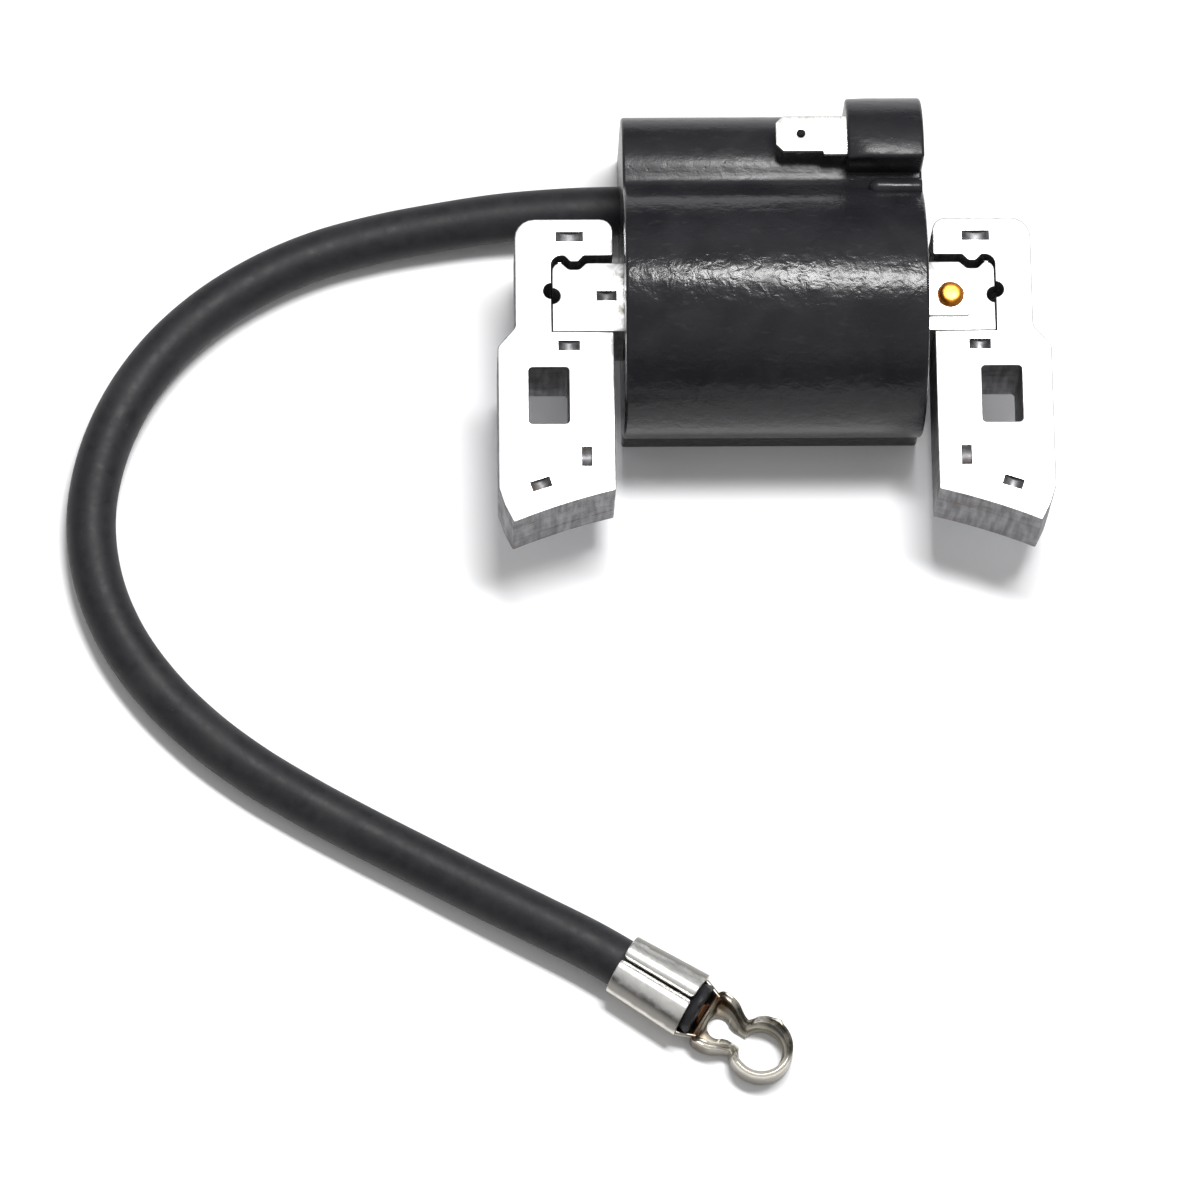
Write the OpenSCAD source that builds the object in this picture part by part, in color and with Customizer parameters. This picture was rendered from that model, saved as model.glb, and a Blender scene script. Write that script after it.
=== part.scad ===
// Flywheel-magneto ignition coil of a small engine, lying on the flat back of its housing.
// X runs along the core bar, Y from the pole shoes to the terminal post, Z up from the table.
// The parts are drawn about the middle of the core bar, and place() moves them onto the table.

/* [Laminations] */
// Thickness of the lamination stack
stack_t = 12.7; // [11:0.1:13]
// Height of the core bar, across its width
core_h = 10.2; // [9.6:0.1:10.6]
// Distance between the centres of the two mounting slots
slot_pitch = 63.2; // [62.6:0.1:63.8]
// Width of a mounting slot
slot_w = 5.6; // [4.5:0.1:6]
// Length of a mounting slot
slot_l = 8.2; // [7:0.1:9]
// Radius of the pole faces: the flywheel's radius and the air gap
pole_r = 95.6; // [94:0.1:98]
// Distance from the core bar's centre line to the flywheel's axis
pole_drop = 121.3; // [121:0.1:122]

/* [Housing] */
// Length of the housing along the core bar
body_w = 42; // [41.6:0.1:42.2]
// Outer radius of the housing's barrel
barrel_r = 17.8; // [17.6:0.1:18.2]
// Radius of the rounded electronics box above the barrel
box_r = 9.3; // [9.1:0.1:9.5]
// Radius of the front of the terminal post
post_r = 10.6; // [10.4:0.1:10.8]
// Wall thickness of the housing
wall = 1.6; // [1.4:0.1:1.7]

/* [Stop terminal] */
// Width of the stop switch's spade terminal
tab_w = 5.2; // [4.8:0.1:5.4]
// Thickness of the spade
tab_t = 0.8; // [0.5:0.1:0.8]

/* [Lead] */
// Outside diameter of the ignition lead
lead_d = 7; // [6.6:0.1:7]
// Diameter of the lead's stranded conductor
conductor_d = 1.6; // [1.2:0.1:1.8]

/* [Plug clip] */
// Thickness of the clip's sheet metal
clip_t = 0.85; // [0.7:0.05:0.9]
// Length of the crimped barrel
crimp_l = 11.2; // [10.6:0.1:11.6]
// Outer radius of the cup that is pushed on the spark plug
cup_r = 4.2; // [4.1:0.1:4.5]

/* [Hidden] */

big = 200;
eps = 0.01;
fn_big = 180;
fn_mid = 64;
fn_small = 32;

// Core bar and its joints with the legs
core_end = 31.1;      // half the length of the core bar
joint_gap = 1.05;     // open gap above the core bar's end
joint_round = 1.5;    // round at the end of that gap, in the leg
core_round = 1.2;     // round on the core bar's corner
nib_x = 27.9;         // the leg's nib and the core's notch
nib_w = 2.2;
nib_h = 0.85;
notch_w = 3.3;
notch_d = 0.9;
stake_r = 1.13;       // half-round holes that the joint was staked through
stake_leg_y = 0.95;
stake_core_y = 0.2;

// Legs
leg_in = 22.45;       // inner edge
leg_top = 11.6;
leg_up_out = 36.2;    // outer edge above the shoulder
shoulder_y = -4.4;
shoulder_drop = 2.9;
leg_out = 38.7;       // outer edge below the shoulder
heel_y = -28;
heel_x = 37.9;
heel_end_y = -30.5;
pole_x = 36.65;       // outer end of the pole face
top_out_round = 2.8;
top_in_round = 1.8;
slot_y = -14.45;
slot_round = 0.5;
pole_low = -pole_drop + sqrt(pole_r * pole_r - pole_x * pole_x);

// Interlock dimples: centre x, centre y, turn
leg_dimples = [[28.5, 9, 0], [28.7, -7.1, 0], [26.4, -23.4, 90], [32.8, -27.4, -18]];
core_dimples = [[23.4, 0.2, 0]];
dimple_l = 2.9;
dimple_w = 1.45;
dimple_d = 0.7;

// Housing section, seen along the core bar: Y across, Z up from the core's centre line
core_z = 15;          // height of the core's centre line above the table
box_y = 19.2;         // centre of the box's rounded front
box_z = 0.2;
trough_y = 15;        // how far the open trough at the back reaches below the centre
post_y = 18.8;
post_z = 4.9;
post_low_y = 17.1;    // flat underside of the post
post_x = 10.3;        // left end of the post
post_slope_x = 13.3;  // where its slanted left end begins
post_top_slope = 24;
post_front_slope = 10;
bead_r = 1.3;         // bead in the valley under the post
bead_y = 14.6;
bead_z = 10.6;
bead_x = 13.4;
body_x = body_w / 2;
inner_x = body_x - wall;
mid_y = (post_y + post_r + pole_low) / 2;

// Bobbins and windings
fit = 0.1;
spool_t = 1;
tube_y = core_h + 2 * (fit + spool_t);
tube_z = stack_t + 2 * (fit + spool_t);
flange_in_x = 17.4;
flange_t = 1.2;
flange_size = [28.4, 28.6, 10];
primary_size = [18, 20.5, 2.5];
wrap_t = 0.4;
wrap_size = [primary_size[0] + 2 * wrap_t, primary_size[1] + 2 * wrap_t, primary_size[2] + wrap_t];
second_in = [wrap_size[0] + 2 * fit, wrap_size[1] + 2 * fit, wrap_size[2] + fit];
second_t = 0.9;
second_out = [second_in[0] + 2 * second_t, second_in[1] + 2 * second_t, second_in[2] + second_t];
winding_size = [26.4, 26.8, 9];
sections = 4;
divider_t = 0.8;
section_l = (2 * (flange_in_x - 1) - (sections - 1) * divider_t) / sections;

// Circuit board and its parts
board_x0 = -8;
board_y = 19.6;
board_t = 1.2;
board_z0 = -12;
board_z1 = 4;
potting_z = -14.7;

// Ground strap
strap_t = 0.6;
strap_w = 6.1;
strap_end = 27.6;
strap_x = 18.7;
rivet_x = 24.75;
rivet_r = 1.8;
rivet_shank_r = 1;

// Stop terminal
tab_y = 21.6;
tab_tip_x = 0.4;
tab_root_x = 7;
tab_foot_x = 12.2;
tab_top_z = 13.5;
tab_hole_x = 3.9;
tab_hole_r = 0.6;

// Lead: where it leaves the housing, and how far it goes in
lead_y = 18.6;
lead_z = -9.4;
lead_in_x = -14;
lead_clear = 0.05;
socket_r = 1.5;
socket_l = 5.5;
lead_sides = 12;

// Plug clip: where its barrel starts on the table, its turn, and its outline
clip_at = [-22, -89.9];
clip_turn = -32;
clip_axis_z = 4.4;
clip_low = 0.05;
crimp_in_r = lead_d / 2;
crimp_out_r = crimp_in_r + clip_t;
crimp_gap = 0.8;
lead_in_crimp = 12.6;  // where the jacket ends, just past the barrel
pan_x = 13.3;
shoulder_x = 15.2;
shoulder_w = 4.15;
waist_x = 18.8;
waist_w = 2.6;
cup_x = 22.4;
cup_h = 4.6;
cup_hole_r = 2.9;
key_x = 15.7;
key_r = 1.6;
key_w = 1.7;

function clip_point(u) = [clip_at[0] + u * cos(clip_turn), clip_at[1] + u * sin(clip_turn), clip_axis_z];

// Route of the lead's centre line, in the table's frame
route = concat(
    [[-14, 20.4, 5.6], [-21, 20.4, 5.6], [-29, 20.3, 5.2], [-38, 19.8, 4.5], [-47, 18.6, 3.9],
     [-55.5, 17, 3.6], [-64, 14.6, 3.5], [-72, 11, 3.5], [-79.5, 6.1, 3.5], [-86, -0.1, 3.5],
     [-91.1, -7.5, 3.5], [-94.5, -15.8, 3.5], [-95.9, -24.6, 3.5], [-94.9, -33.5, 3.5],
     [-91.7, -41.8, 3.5], [-86.7, -49.2, 3.5], [-80.4, -55.7, 3.5], [-73.4, -61.2, 3.5],
     [-65.8, -66, 3.5], [-58, -70.4, 3.5], [-50, -74.7, 3.6], [-42, -79, 3.8], [-34, -83.2, 4.1],
     [-27, -86.9, 4.3]],
    [for (u = [0, 6, lead_in_crimp]) clip_point(u)]);

module place() {
    translate([0, -mid_y, core_z]) children();
}

// Stands a section drawn in Y and Z along X, from x0 to x1
module along_x(x0, x1) {
    translate([x0, 0, 0]) rotate([90, 0, 90]) linear_extrude(x1 - x0) children();
}

// Takes the sharp corner at x, y off a sheet; sx and sy point from the corner into the sheet
module corner_cut(x, y, r, sx, sy) {
    translate([x, y]) difference() {
        translate([sx > 0 ? -eps : -r, sy > 0 ? -eps : -r]) square(r + eps);
        translate([sx * r, sy * r]) circle(r, $fn = fn_mid);
    }
}

// Rectangle of size [w, h, corner radius], centred
module rounded(size) {
    r = size[2];
    square([size[0] - 2 * r, size[1]], center = true);
    square([size[0], size[1] - 2 * r], center = true);
    for (sx = [-1, 1], sy = [-1, 1])
        translate([sx * (size[0] / 2 - r), sy * (size[1] / 2 - r)]) circle(r, $fn = fn_mid);
}

// V-shaped dimple pressed into one face of the stack; side is 1 for the front and -1 for the back
module dimple(at, side) {
    translate([at[0], at[1], side * stack_t / 2]) rotate([0, 0, at[2]])
        rotate([90, 0, 0]) linear_extrude(dimple_w, center = true)
            polygon([[-dimple_l / 2, side * eps], [0, -side * dimple_d], [dimple_l / 2, side * eps]]);
}

// Opening in a leg that takes the end of the core bar
module core_pocket() {
    difference() {
        translate([leg_in - 1, -core_h / 2]) square([core_end - leg_in + 1, core_h + joint_gap]);
        corner_cut(core_end, core_h / 2 + joint_gap, joint_round, -1, -1);
        translate([nib_x - nib_w / 2, core_h / 2 + joint_gap - nib_h]) square([nib_w, nib_h + eps]);
    }
    translate([core_end, stake_leg_y]) circle(stake_r, $fn = fn_small);
}

module leg_sheet() {
    difference() {
        polygon([
            [leg_in, leg_top], [leg_up_out, leg_top], [leg_up_out, shoulder_y],
            [leg_out, shoulder_y - shoulder_drop], [leg_out, heel_y], [heel_x, heel_end_y],
            [pole_x, pole_low], [pole_x, pole_low - 5], [leg_in, pole_low - 5]
        ]);
        translate([0, -pole_drop]) circle(pole_r, $fn = 2 * fn_big);
        corner_cut(leg_in, leg_top, top_in_round, 1, -1);
        corner_cut(leg_up_out, leg_top, top_out_round, -1, -1);
        translate([slot_pitch / 2, slot_y]) rounded([slot_w, slot_l, slot_round]);
        core_pocket();
    }
}

module leg_stack() {
    difference() {
        linear_extrude(stack_t, center = true) leg_sheet();
        for (at = leg_dimples, side = [-1, 1]) dimple(at, side);
    }
}

module right_leg_laminations() {
    color("silver") place() leg_stack();
}

module left_leg_laminations() {
    color("silver") place() mirror([1, 0, 0]) leg_stack();
}

module core_sheet() {
    difference() {
        square([2 * core_end, core_h], center = true);
        for (side = [0, 1]) mirror([side, 0]) {
            corner_cut(core_end, core_h / 2, core_round, -1, -1);
            translate([nib_x - notch_w / 2, core_h / 2 - notch_d]) square([notch_w, notch_d + 1]);
            translate([core_end, stake_core_y]) circle(stake_r, $fn = fn_small);
        }
    }
}

module core_laminations() {
    color("silver") place() difference() {
        linear_extrude(stack_t, center = true) core_sheet();
        for (at = core_dimples) mirror([1, 0, 0]) dimple(at, 1);
        translate([rivet_x, 0, 0]) cylinder(h = stack_t + 2, r = rivet_shank_r, center = true, $fn = fn_small);
    }
}

// Outer section of barrel, box and trough; inset gives the section of the cavity
module housing_section(inset) {
    difference() {
        union() {
            circle(barrel_r - inset, $fn = fn_big);
            translate([box_y, box_z]) circle(box_r - inset, $fn = fn_big);
            translate([-trough_y + inset, -core_z])
                square([trough_y + box_y + box_r - 2 * inset, core_z + box_z]);
        }
        translate([-big / 2, -core_z - big]) square(big);
    }
}

module post_section() {
    intersection() {
        union() {
            translate([post_y, post_z]) circle(post_r, $fn = fn_big);
            translate([post_low_y, -core_z]) square([post_y + post_r - post_low_y, core_z + post_z]);
        }
        translate([post_low_y, -core_z]) square(big);
    }
}

module terminal_post() {
    difference() {
        along_x(post_x, body_x) post_section();
        // slanted left end: the top and the front fall away towards the spade
        translate([post_slope_x, post_y + post_r, 0]) rotate([0, 0, post_top_slope])
            translate([-big / 2, 0, 0]) cube([big, big, big], center = false);
        translate([post_slope_x, 0, post_z + post_r]) rotate([0, -post_front_slope, 0])
            translate([-big / 2, -big / 2, 0]) cube([big / 2, big, big], center = false);
    }
}

module coil_housing() {
    color("#2b2b2d") place() difference() {
        union() {
            along_x(-body_x, body_x) housing_section(0);
            terminal_post();
            along_x(bead_x, body_x) translate([bead_y, bead_z]) circle(bead_r, $fn = fn_small);
        }
        along_x(-inner_x, inner_x) housing_section(wall);
        cube([2 * body_x + 2, tube_y, tube_z], center = true);
        translate([-body_x - 1, lead_y, lead_z]) rotate([0, 90, 0])
            cylinder(h = wall + 2, d = lead_d + 2 * lead_clear, $fn = fn_mid);
        terminal_body();
    }
}

module potting_compound() {
    color("#3a2f26") place() difference() {
        along_x(-inner_x, inner_x) intersection() {
            housing_section(wall);
            translate([-big / 2, potting_z]) square(big);
        }
        cube([2 * body_x, tube_y, tube_z], center = true);
        for (side = [-1, 1]) translate([side * (flange_in_x + flange_t / 2), 0, 0])
            along_x(-flange_t / 2, flange_t / 2) rounded(flange_size);
        along_x(-flange_in_x, flange_in_x) rounded(second_out);
        second_flanges();
        winding_rings();
        board_body();
        power_body();
        control_body();
        resistor_bodies();
        primary_wires();
        secondary_wire(0.5);
        socket_body();
        lead_pocket();
        terminal_body();
        strap_body();
    }
}

module primary_bobbin() {
    color("ivory") place() difference() {
        union() {
            cube([body_w, tube_y, tube_z], center = true);
            for (side = [-1, 1]) translate([side * (flange_in_x + flange_t / 2), 0, 0])
                along_x(-flange_t / 2, flange_t / 2) rounded(flange_size);
        }
        cube([body_w + 2, core_h + 2 * fit, stack_t + 2 * fit], center = true);
        // notch for the ground strap
        translate([flange_in_x + flange_t, -strap_w / 2 - fit, stack_t / 2 - fit])
            cube([body_w, strap_w + 2 * fit, spool_t + 3 * fit]);
        primary_wires();
    }
}

module primary_winding() {
    color("peru") place() along_x(-flange_in_x, flange_in_x) difference() {
        rounded(primary_size);
        square([tube_y, tube_z], center = true);
    }
}

module insulation_wrap() {
    color("khaki") place() along_x(-flange_in_x, flange_in_x) difference() {
        rounded(wrap_size);
        rounded(primary_size);
    }
}

module second_flanges() {
    for (side = [-1, 1])
        translate([side * (flange_in_x - 0.5), 0, 0]) along_x(-0.5, 0.5) rounded(flange_size);
    for (i = [1:sections - 1]) {
        x = -flange_in_x + 1 + i * section_l + (i - 1) * divider_t;
        along_x(x, x + divider_t) rounded(flange_size);
    }
}

module secondary_bobbin() {
    color("ivory") place() difference() {
        union() {
            along_x(-flange_in_x, flange_in_x) rounded(second_out);
            second_flanges();
        }
        along_x(-flange_in_x - 1, flange_in_x + 1) rounded(second_in);
    }
}

module winding_rings() {
    for (i = [0:sections - 1]) {
        x = -flange_in_x + 1 + i * (section_l + divider_t);
        along_x(x, x + section_l) difference() {
            rounded(winding_size);
            rounded(second_out);
        }
    }
}

module secondary_winding() {
    color("sienna") place() winding_rings();
}

module board_body() {
    translate([board_x0, board_y, board_z0]) cube([strap_x - board_x0, board_t, board_z1 - board_z0]);
}

module circuit_board() {
    color("darkgreen") place() board_body();
}

// Body with three pins that stand on the board
module power_body() {
    translate([2, board_y + board_t + 0.8, -9.5]) cube([9, 3, 8]);
    for (i = [0:2]) translate([3.7 + 2.5 * i, board_y + board_t, -9]) cube([0.7, 1, 0.7]);
}

module power_transistor() {
    color("#202020") place() power_body();
}

module control_body() {
    translate([-4, board_y + board_t, -4]) rotate([-90, 0, 0]) difference() {
        cylinder(h = 4.6, r = 2.3, $fn = fn_small);
        translate([-big / 2, 1.4, -1]) cube(big);
    }
}

module control_transistor() {
    color("#202020") place() control_body();
}

module resistor_bodies() {
    for (x = [13.6, 16.8]) translate([x, board_y + board_t + 1.3, -9]) {
        cylinder(h = 6, r = 1.1, $fn = fn_small);
        translate([0, 0, -1]) cylinder(h = 8, r = 0.3, $fn = fn_small);
        for (z = [-1, 7]) translate([0, 0, z]) rotate([90, 0, 0]) cylinder(h = 1.3, r = 0.3, $fn = fn_small);
    }
}

module resistors() {
    color("tan") place() resistor_bodies();
}

// Round wire along straight stretches between the points
module wire(points, d) {
    for (i = [0:len(points) - 2]) {
        a = points[i];
        v = points[i + 1] - a;
        translate(a) rotate([0, acos(v[2] / norm(v)), atan2(v[1], v[0])])
            cylinder(h = norm(v), d = d, $fn = fn_small);
    }
    for (i = [1:1:len(points) - 2]) translate(points[i]) sphere(d = d, $fn = fn_small);
}

module primary_wires() {
    wire_x = flange_in_x + flange_t + 0.4;
    for (z = [-4, -7])
        wire([[flange_in_x, 8, z], [wire_x, 8, z], [wire_x, 17.6, z], [16, 17.6, z], [16, board_y, z]], 0.7);
}

module primary_leads() {
    color("peru") place() primary_wires();
}

// Runs straight from the side of the winding's last section to the socket's sleeve;
// over lets the resin's channel for it run on into the socket's own channel
module secondary_wire(over) {
    reach = norm([lead_y, lead_z]);
    way = [0, lead_y, lead_z] / reach;
    wire([[-11, 0, 0] + way * 14.5, [-11, 0, 0] + way * (reach - socket_r + over)], 0.7);
}

module secondary_lead() {
    color("sienna") place() secondary_wire(0);
}

module strap_body() {
    translate([strap_x, -strap_w / 2, stack_t / 2]) cube([strap_end - strap_x, strap_w, strap_t]);
    along_x(strap_x, strap_x + strap_t) polygon([
        [-strap_w / 2, stack_t / 2], [strap_w / 2, stack_t / 2], [strap_w / 2, 7.6], [7, 7.6],
        [16, 3], [21, 3], [21, 5.5], [16.5, 5.5], [8, 10], [-strap_w / 2, 10]
    ]);
}

module ground_strap() {
    color("silver") place() difference() {
        strap_body();
        translate([rivet_x, 0, 0]) cylinder(h = big, r = rivet_shank_r, $fn = fn_small);
    }
}

module rivet_head(r, h) {
    ball = (r * r + h * h) / (2 * h);
    intersection() {
        translate([0, 0, h - ball]) sphere(ball, $fn = fn_mid);
        cylinder(h = h + 1, r = r + 1, $fn = fn_mid);
    }
}

module ground_rivet() {
    color("chocolate") place() translate([rivet_x, 0, 0]) {
        translate([0, 0, -stack_t / 2]) cylinder(h = stack_t + strap_t, r = rivet_shank_r, $fn = fn_small);
        translate([0, 0, stack_t / 2 + strap_t]) rivet_head(rivet_r, 1);
        translate([0, 0, -stack_t / 2]) mirror([0, 0, 1]) rivet_head(rivet_r, 0.9);
    }
}

// Spade, its wider root, and the foot that goes down to the circuit board
module terminal_body() {
    chamfer = 1;
    low = tab_y - tab_w / 2;
    high = tab_y + tab_w / 2;
    translate([0, 0, tab_top_z - tab_t]) linear_extrude(tab_t) {
        polygon([
            [tab_tip_x, low + chamfer], [tab_tip_x + chamfer, low], [tab_foot_x, low],
            [tab_foot_x, high], [tab_tip_x + chamfer, high], [tab_tip_x, high - chamfer]
        ]);
        translate([tab_root_x, low - 0.5]) square([tab_foot_x + tab_t - tab_root_x, tab_w + 0.5]);
    }
    translate([tab_foot_x, tab_y - 1.9, board_z1]) cube([tab_t, 3, tab_top_z - board_z1]);
}

module stop_terminal() {
    color("gainsboro") place() difference() {
        terminal_body();
        translate([tab_hole_x, tab_y, tab_top_z - 2 * tab_t])
            cylinder(h = 3 * tab_t, r = tab_hole_r, $fn = fn_small);
    }
}

module socket_body() {
    translate([lead_in_x, lead_y, lead_z]) rotate([0, 90, 0])
        cylinder(h = socket_l, r = socket_r, $fn = fn_small);
}

module high_voltage_socket() {
    color("goldenrod") place() difference() {
        socket_body();
        translate([lead_in_x - 1, lead_y, lead_z]) rotate([0, 90, 0])
            cylinder(h = 5, d = conductor_d + 2 * lead_clear, $fn = fn_small);
    }
}

// Blind hole that the inner end of the lead lies in
module lead_pocket() {
    translate([-body_x, lead_y, lead_z]) rotate([0, 90, 0])
        cylinder(h = body_x + lead_in_x, d = lead_d + 2 * lead_clear, $fn = fn_mid);
}

// Bare ends of the conductor: one in the socket, one against the back wall of the clip's pan
module lead_conductor() {
    color("darkgoldenrod") {
        place() translate([lead_in_x, lead_y, lead_z]) rotate([0, 90, 0])
            cylinder(h = 4, d = conductor_d, $fn = fn_small);
        translate(clip_point(lead_in_crimp)) rotate([0, 90, clip_turn])
            cylinder(h = pan_x - lead_in_crimp, d = conductor_d, $fn = fn_small);
    }
}

function unit(v) = v / norm(v);
function heading(i) = unit(route[min(i + 1, len(route) - 1)] - route[max(i - 1, 0)]);
function ring(i) =
    let (t = heading(i), side = unit(cross(t, [0, 0, 1])), up = cross(side, t))
    [for (k = [0:lead_sides - 1])
        let (a = 360 * k / lead_sides)
        route[i] + lead_d / 2 * (cos(a) * side + sin(a) * up)];

module ignition_lead() {
    rings = len(route);
    points = [for (i = [0:rings - 1]) each ring(i)];
    skin = [for (i = [0:rings - 2], k = [0:lead_sides - 1])
        let (a = i * lead_sides + k, b = i * lead_sides + (k + 1) % lead_sides)
        [a, a + lead_sides, b + lead_sides, b]];
    ends = [[for (k = [0:lead_sides - 1]) k],
            [for (k = [0:lead_sides - 1]) rings * lead_sides - 1 - k]];
    color("#38383a") polyhedron(points, concat(skin, ends), convexity = 4);
}

// Outline of the clip's pan in plan, from the throat to the waist
module pan_outline(inset) {
    polygon([
        [pan_x + inset, shoulder_w - inset], [shoulder_x, shoulder_w - inset],
        [waist_x, waist_w - inset], [cup_x, waist_w - inset], [cup_x, inset - waist_w],
        [waist_x, inset - waist_w], [shoulder_x, inset - shoulder_w],
        [pan_x + inset, inset - shoulder_w]
    ]);
}

module clip_pan() {
    difference() {
        union() {
            translate([0, 0, clip_low]) linear_extrude(cup_h - clip_low) pan_outline(0);
            translate([cup_x, 0, clip_low]) cylinder(h = cup_h - clip_low, r = cup_r, $fn = fn_mid);
            translate([crimp_l - 1, -2.5, clip_low]) cube([pan_x - crimp_l + 2, 5, clip_t]);
        }
        floor_z = clip_low + clip_t;
        translate([0, 0, floor_z]) linear_extrude(cup_h) pan_outline(clip_t);
        translate([cup_x, 0, floor_z + 1]) cylinder(h = cup_h, r = cup_r - clip_t, $fn = fn_mid);
        translate([cup_x, 0, floor_z - eps])
            cylinder(h = 1 + 2 * eps, r1 = cup_hole_r, r2 = cup_r - clip_t, $fn = fn_mid);
        translate([cup_x, 0, -1]) cylinder(h = cup_h, r = cup_hole_r, $fn = fn_mid);
        translate([key_x, 0, -1]) cylinder(h = cup_h, r = key_r, $fn = fn_small);
        translate([key_x, -key_w / 2, -1]) cube([cup_x - key_x, key_w, cup_h]);
    }
}

module plug_clip() {
    color("lightgray") translate([clip_at[0], clip_at[1], 0]) rotate([0, 0, clip_turn]) {
        difference() {
            translate([0, 0, clip_axis_z]) along_x(0, crimp_l) difference() {
                circle(crimp_out_r, $fn = fn_mid);
                circle(crimp_in_r, $fn = fn_mid);
            }
            translate([-1, -crimp_gap / 2, clip_axis_z]) cube([crimp_l + 2, crimp_gap, 2 * crimp_out_r]);
        }
        clip_pan();
    }
}

left_leg_laminations();
right_leg_laminations();
core_laminations();
coil_housing();
potting_compound();
primary_bobbin();
primary_winding();
insulation_wrap();
secondary_bobbin();
secondary_winding();
circuit_board();
power_transistor();
control_transistor();
resistors();
primary_leads();
secondary_lead();
stop_terminal();
ground_strap();
ground_rivet();
high_voltage_socket();
lead_conductor();
ignition_lead();
plug_clip();
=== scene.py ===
"""Looks of a small engine's flywheel-magneto ignition coil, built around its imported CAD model.

The object lies on the flat back of its housing. Its frame: +X along the core bar, +Y from the
pole shoes to the terminal post, +Z up. Shapes are written in millimetres and become metres when
their mesh is made. The coil's own pieces are drawn about the middle of the core bar (coil frame).
"""

import random
from math import asin, atan2, cos, degrees, exp, hypot, pi, radians, sin, sqrt, tan

import bmesh
import bpy
from mathutils import Euler, Matrix, Vector


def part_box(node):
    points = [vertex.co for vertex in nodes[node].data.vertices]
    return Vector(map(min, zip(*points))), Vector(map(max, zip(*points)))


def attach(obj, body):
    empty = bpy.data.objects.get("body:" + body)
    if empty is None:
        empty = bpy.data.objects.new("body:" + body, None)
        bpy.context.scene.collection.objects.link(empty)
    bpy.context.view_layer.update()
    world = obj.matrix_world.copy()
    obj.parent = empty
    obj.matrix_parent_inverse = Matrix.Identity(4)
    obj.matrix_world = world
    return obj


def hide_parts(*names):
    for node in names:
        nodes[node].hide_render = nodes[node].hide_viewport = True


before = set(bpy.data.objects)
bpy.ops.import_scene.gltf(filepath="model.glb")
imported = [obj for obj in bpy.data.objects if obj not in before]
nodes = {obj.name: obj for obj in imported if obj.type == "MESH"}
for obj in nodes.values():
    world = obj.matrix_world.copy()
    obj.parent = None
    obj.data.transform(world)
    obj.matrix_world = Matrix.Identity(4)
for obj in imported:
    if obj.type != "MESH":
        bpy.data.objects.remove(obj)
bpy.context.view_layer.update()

MM = 0.001


def node_box(name):
    """Lowest and highest corner of a CAD node, in millimetres."""
    low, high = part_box(name)
    return low / MM, high / MM


# ---- camera

CAMERA_AT = (-50.3, -325.24, 943.98)
CAMERA_TURN = (17.0527, -1.3522, -0.7379)
CAMERA_REACH = (0.05, 10.0)
LENS = 210.0
SENSOR = 36.0


def placed(name, data):
    """Object in the scene that shows the data."""
    obj = bpy.data.objects.new(name, data)
    bpy.context.scene.collection.objects.link(obj)
    return obj


def make_camera():
    data = bpy.data.cameras.new("camera")
    data.lens = LENS
    data.sensor_width = SENSOR
    data.clip_start, data.clip_end = CAMERA_REACH
    camera = placed("camera", data)
    camera.location = Vector(CAMERA_AT) * MM
    camera.rotation_euler = Euler([radians(a) for a in CAMERA_TURN])
    bpy.context.scene.camera = camera


make_camera()

# ---- dimensions, from the frame

core_low, core_high = node_box("core_laminations")
leg_low, leg_high = node_box("right_leg_laminations")
strap_low, strap_high = node_box("ground_strap")
spade_low, spade_high = node_box("stop_terminal")

COIL = (core_low + core_high) / 2
STACK_HALF = (core_high.z - core_low.z) / 2
CORE_END = (core_high.x - core_low.x) / 2
CORE_HALF = (core_high.y - core_low.y) / 2
BODY_END = node_box("coil_housing")[1].x
LEG_IN = leg_low.x
LEG_OUT = leg_high.x
LEG_TOP = leg_high.y - COIL.y
TABLE = -COIL.z

LEAD_D = 7.0
LEAD_R = LEAD_D / 2


# ---- mesh helpers

def piece(name, points, faces, material, origin=(0, 0, 0), smooth=35):
    """Mesh object from points in millimetres about origin; edges sharper than smooth stay sharp."""
    origin = Vector(origin)
    mesh = bpy.data.meshes.new(name)
    mesh.from_pydata([(Vector(p) + origin) * MM for p in points], [], faces)
    work = bmesh.new()
    work.from_mesh(mesh)
    bmesh.ops.recalc_face_normals(work, faces=work.faces)
    work.to_mesh(mesh)
    work.free()
    shade(mesh, smooth)
    mesh.materials.append(material)
    return placed(name, mesh)


def piece_of(work, name, material):
    """Mesh object from a bmesh that is drawn in the coil frame."""
    number = {v: i for i, v in enumerate(work.verts)}
    points = [tuple(v.co) for v in work.verts]
    faces = [tuple(number[v] for v in f.verts) for f in work.faces]
    work.free()
    return piece(name, points, faces, material, COIL)


def shade(mesh, smooth):
    for polygon in mesh.polygons:
        polygon.use_smooth = True
    mesh.set_sharp_from_angle(angle=radians(smooth))


def apply_modifiers(obj):
    """Puts what the modifiers make into the mesh itself."""
    evaluated = obj.evaluated_get(bpy.context.evaluated_depsgraph_get())
    mesh = bpy.data.meshes.new_from_object(evaluated)
    obj.modifiers.clear()
    obj.data = mesh


def combine(obj, others, operation="UNION"):
    """Adds or cuts the other solids, and removes them."""
    for other in others:
        modifier = obj.modifiers.new("combine", "BOOLEAN")
        modifier.operation = operation
        modifier.solver = "EXACT"
        modifier.object = other
    bpy.context.view_layer.update()
    apply_modifiers(obj)
    for other in others:
        bpy.data.objects.remove(other)


def weld(mesh, reach):
    """Joins points that lie within reach millimetres and drops the slivers between them."""
    work = bmesh.new()
    work.from_mesh(mesh)
    bmesh.ops.remove_doubles(work, verts=work.verts, dist=reach * MM)
    bmesh.ops.dissolve_degenerate(work, edges=work.edges, dist=reach * MM)
    work.to_mesh(mesh)
    work.free()


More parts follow.
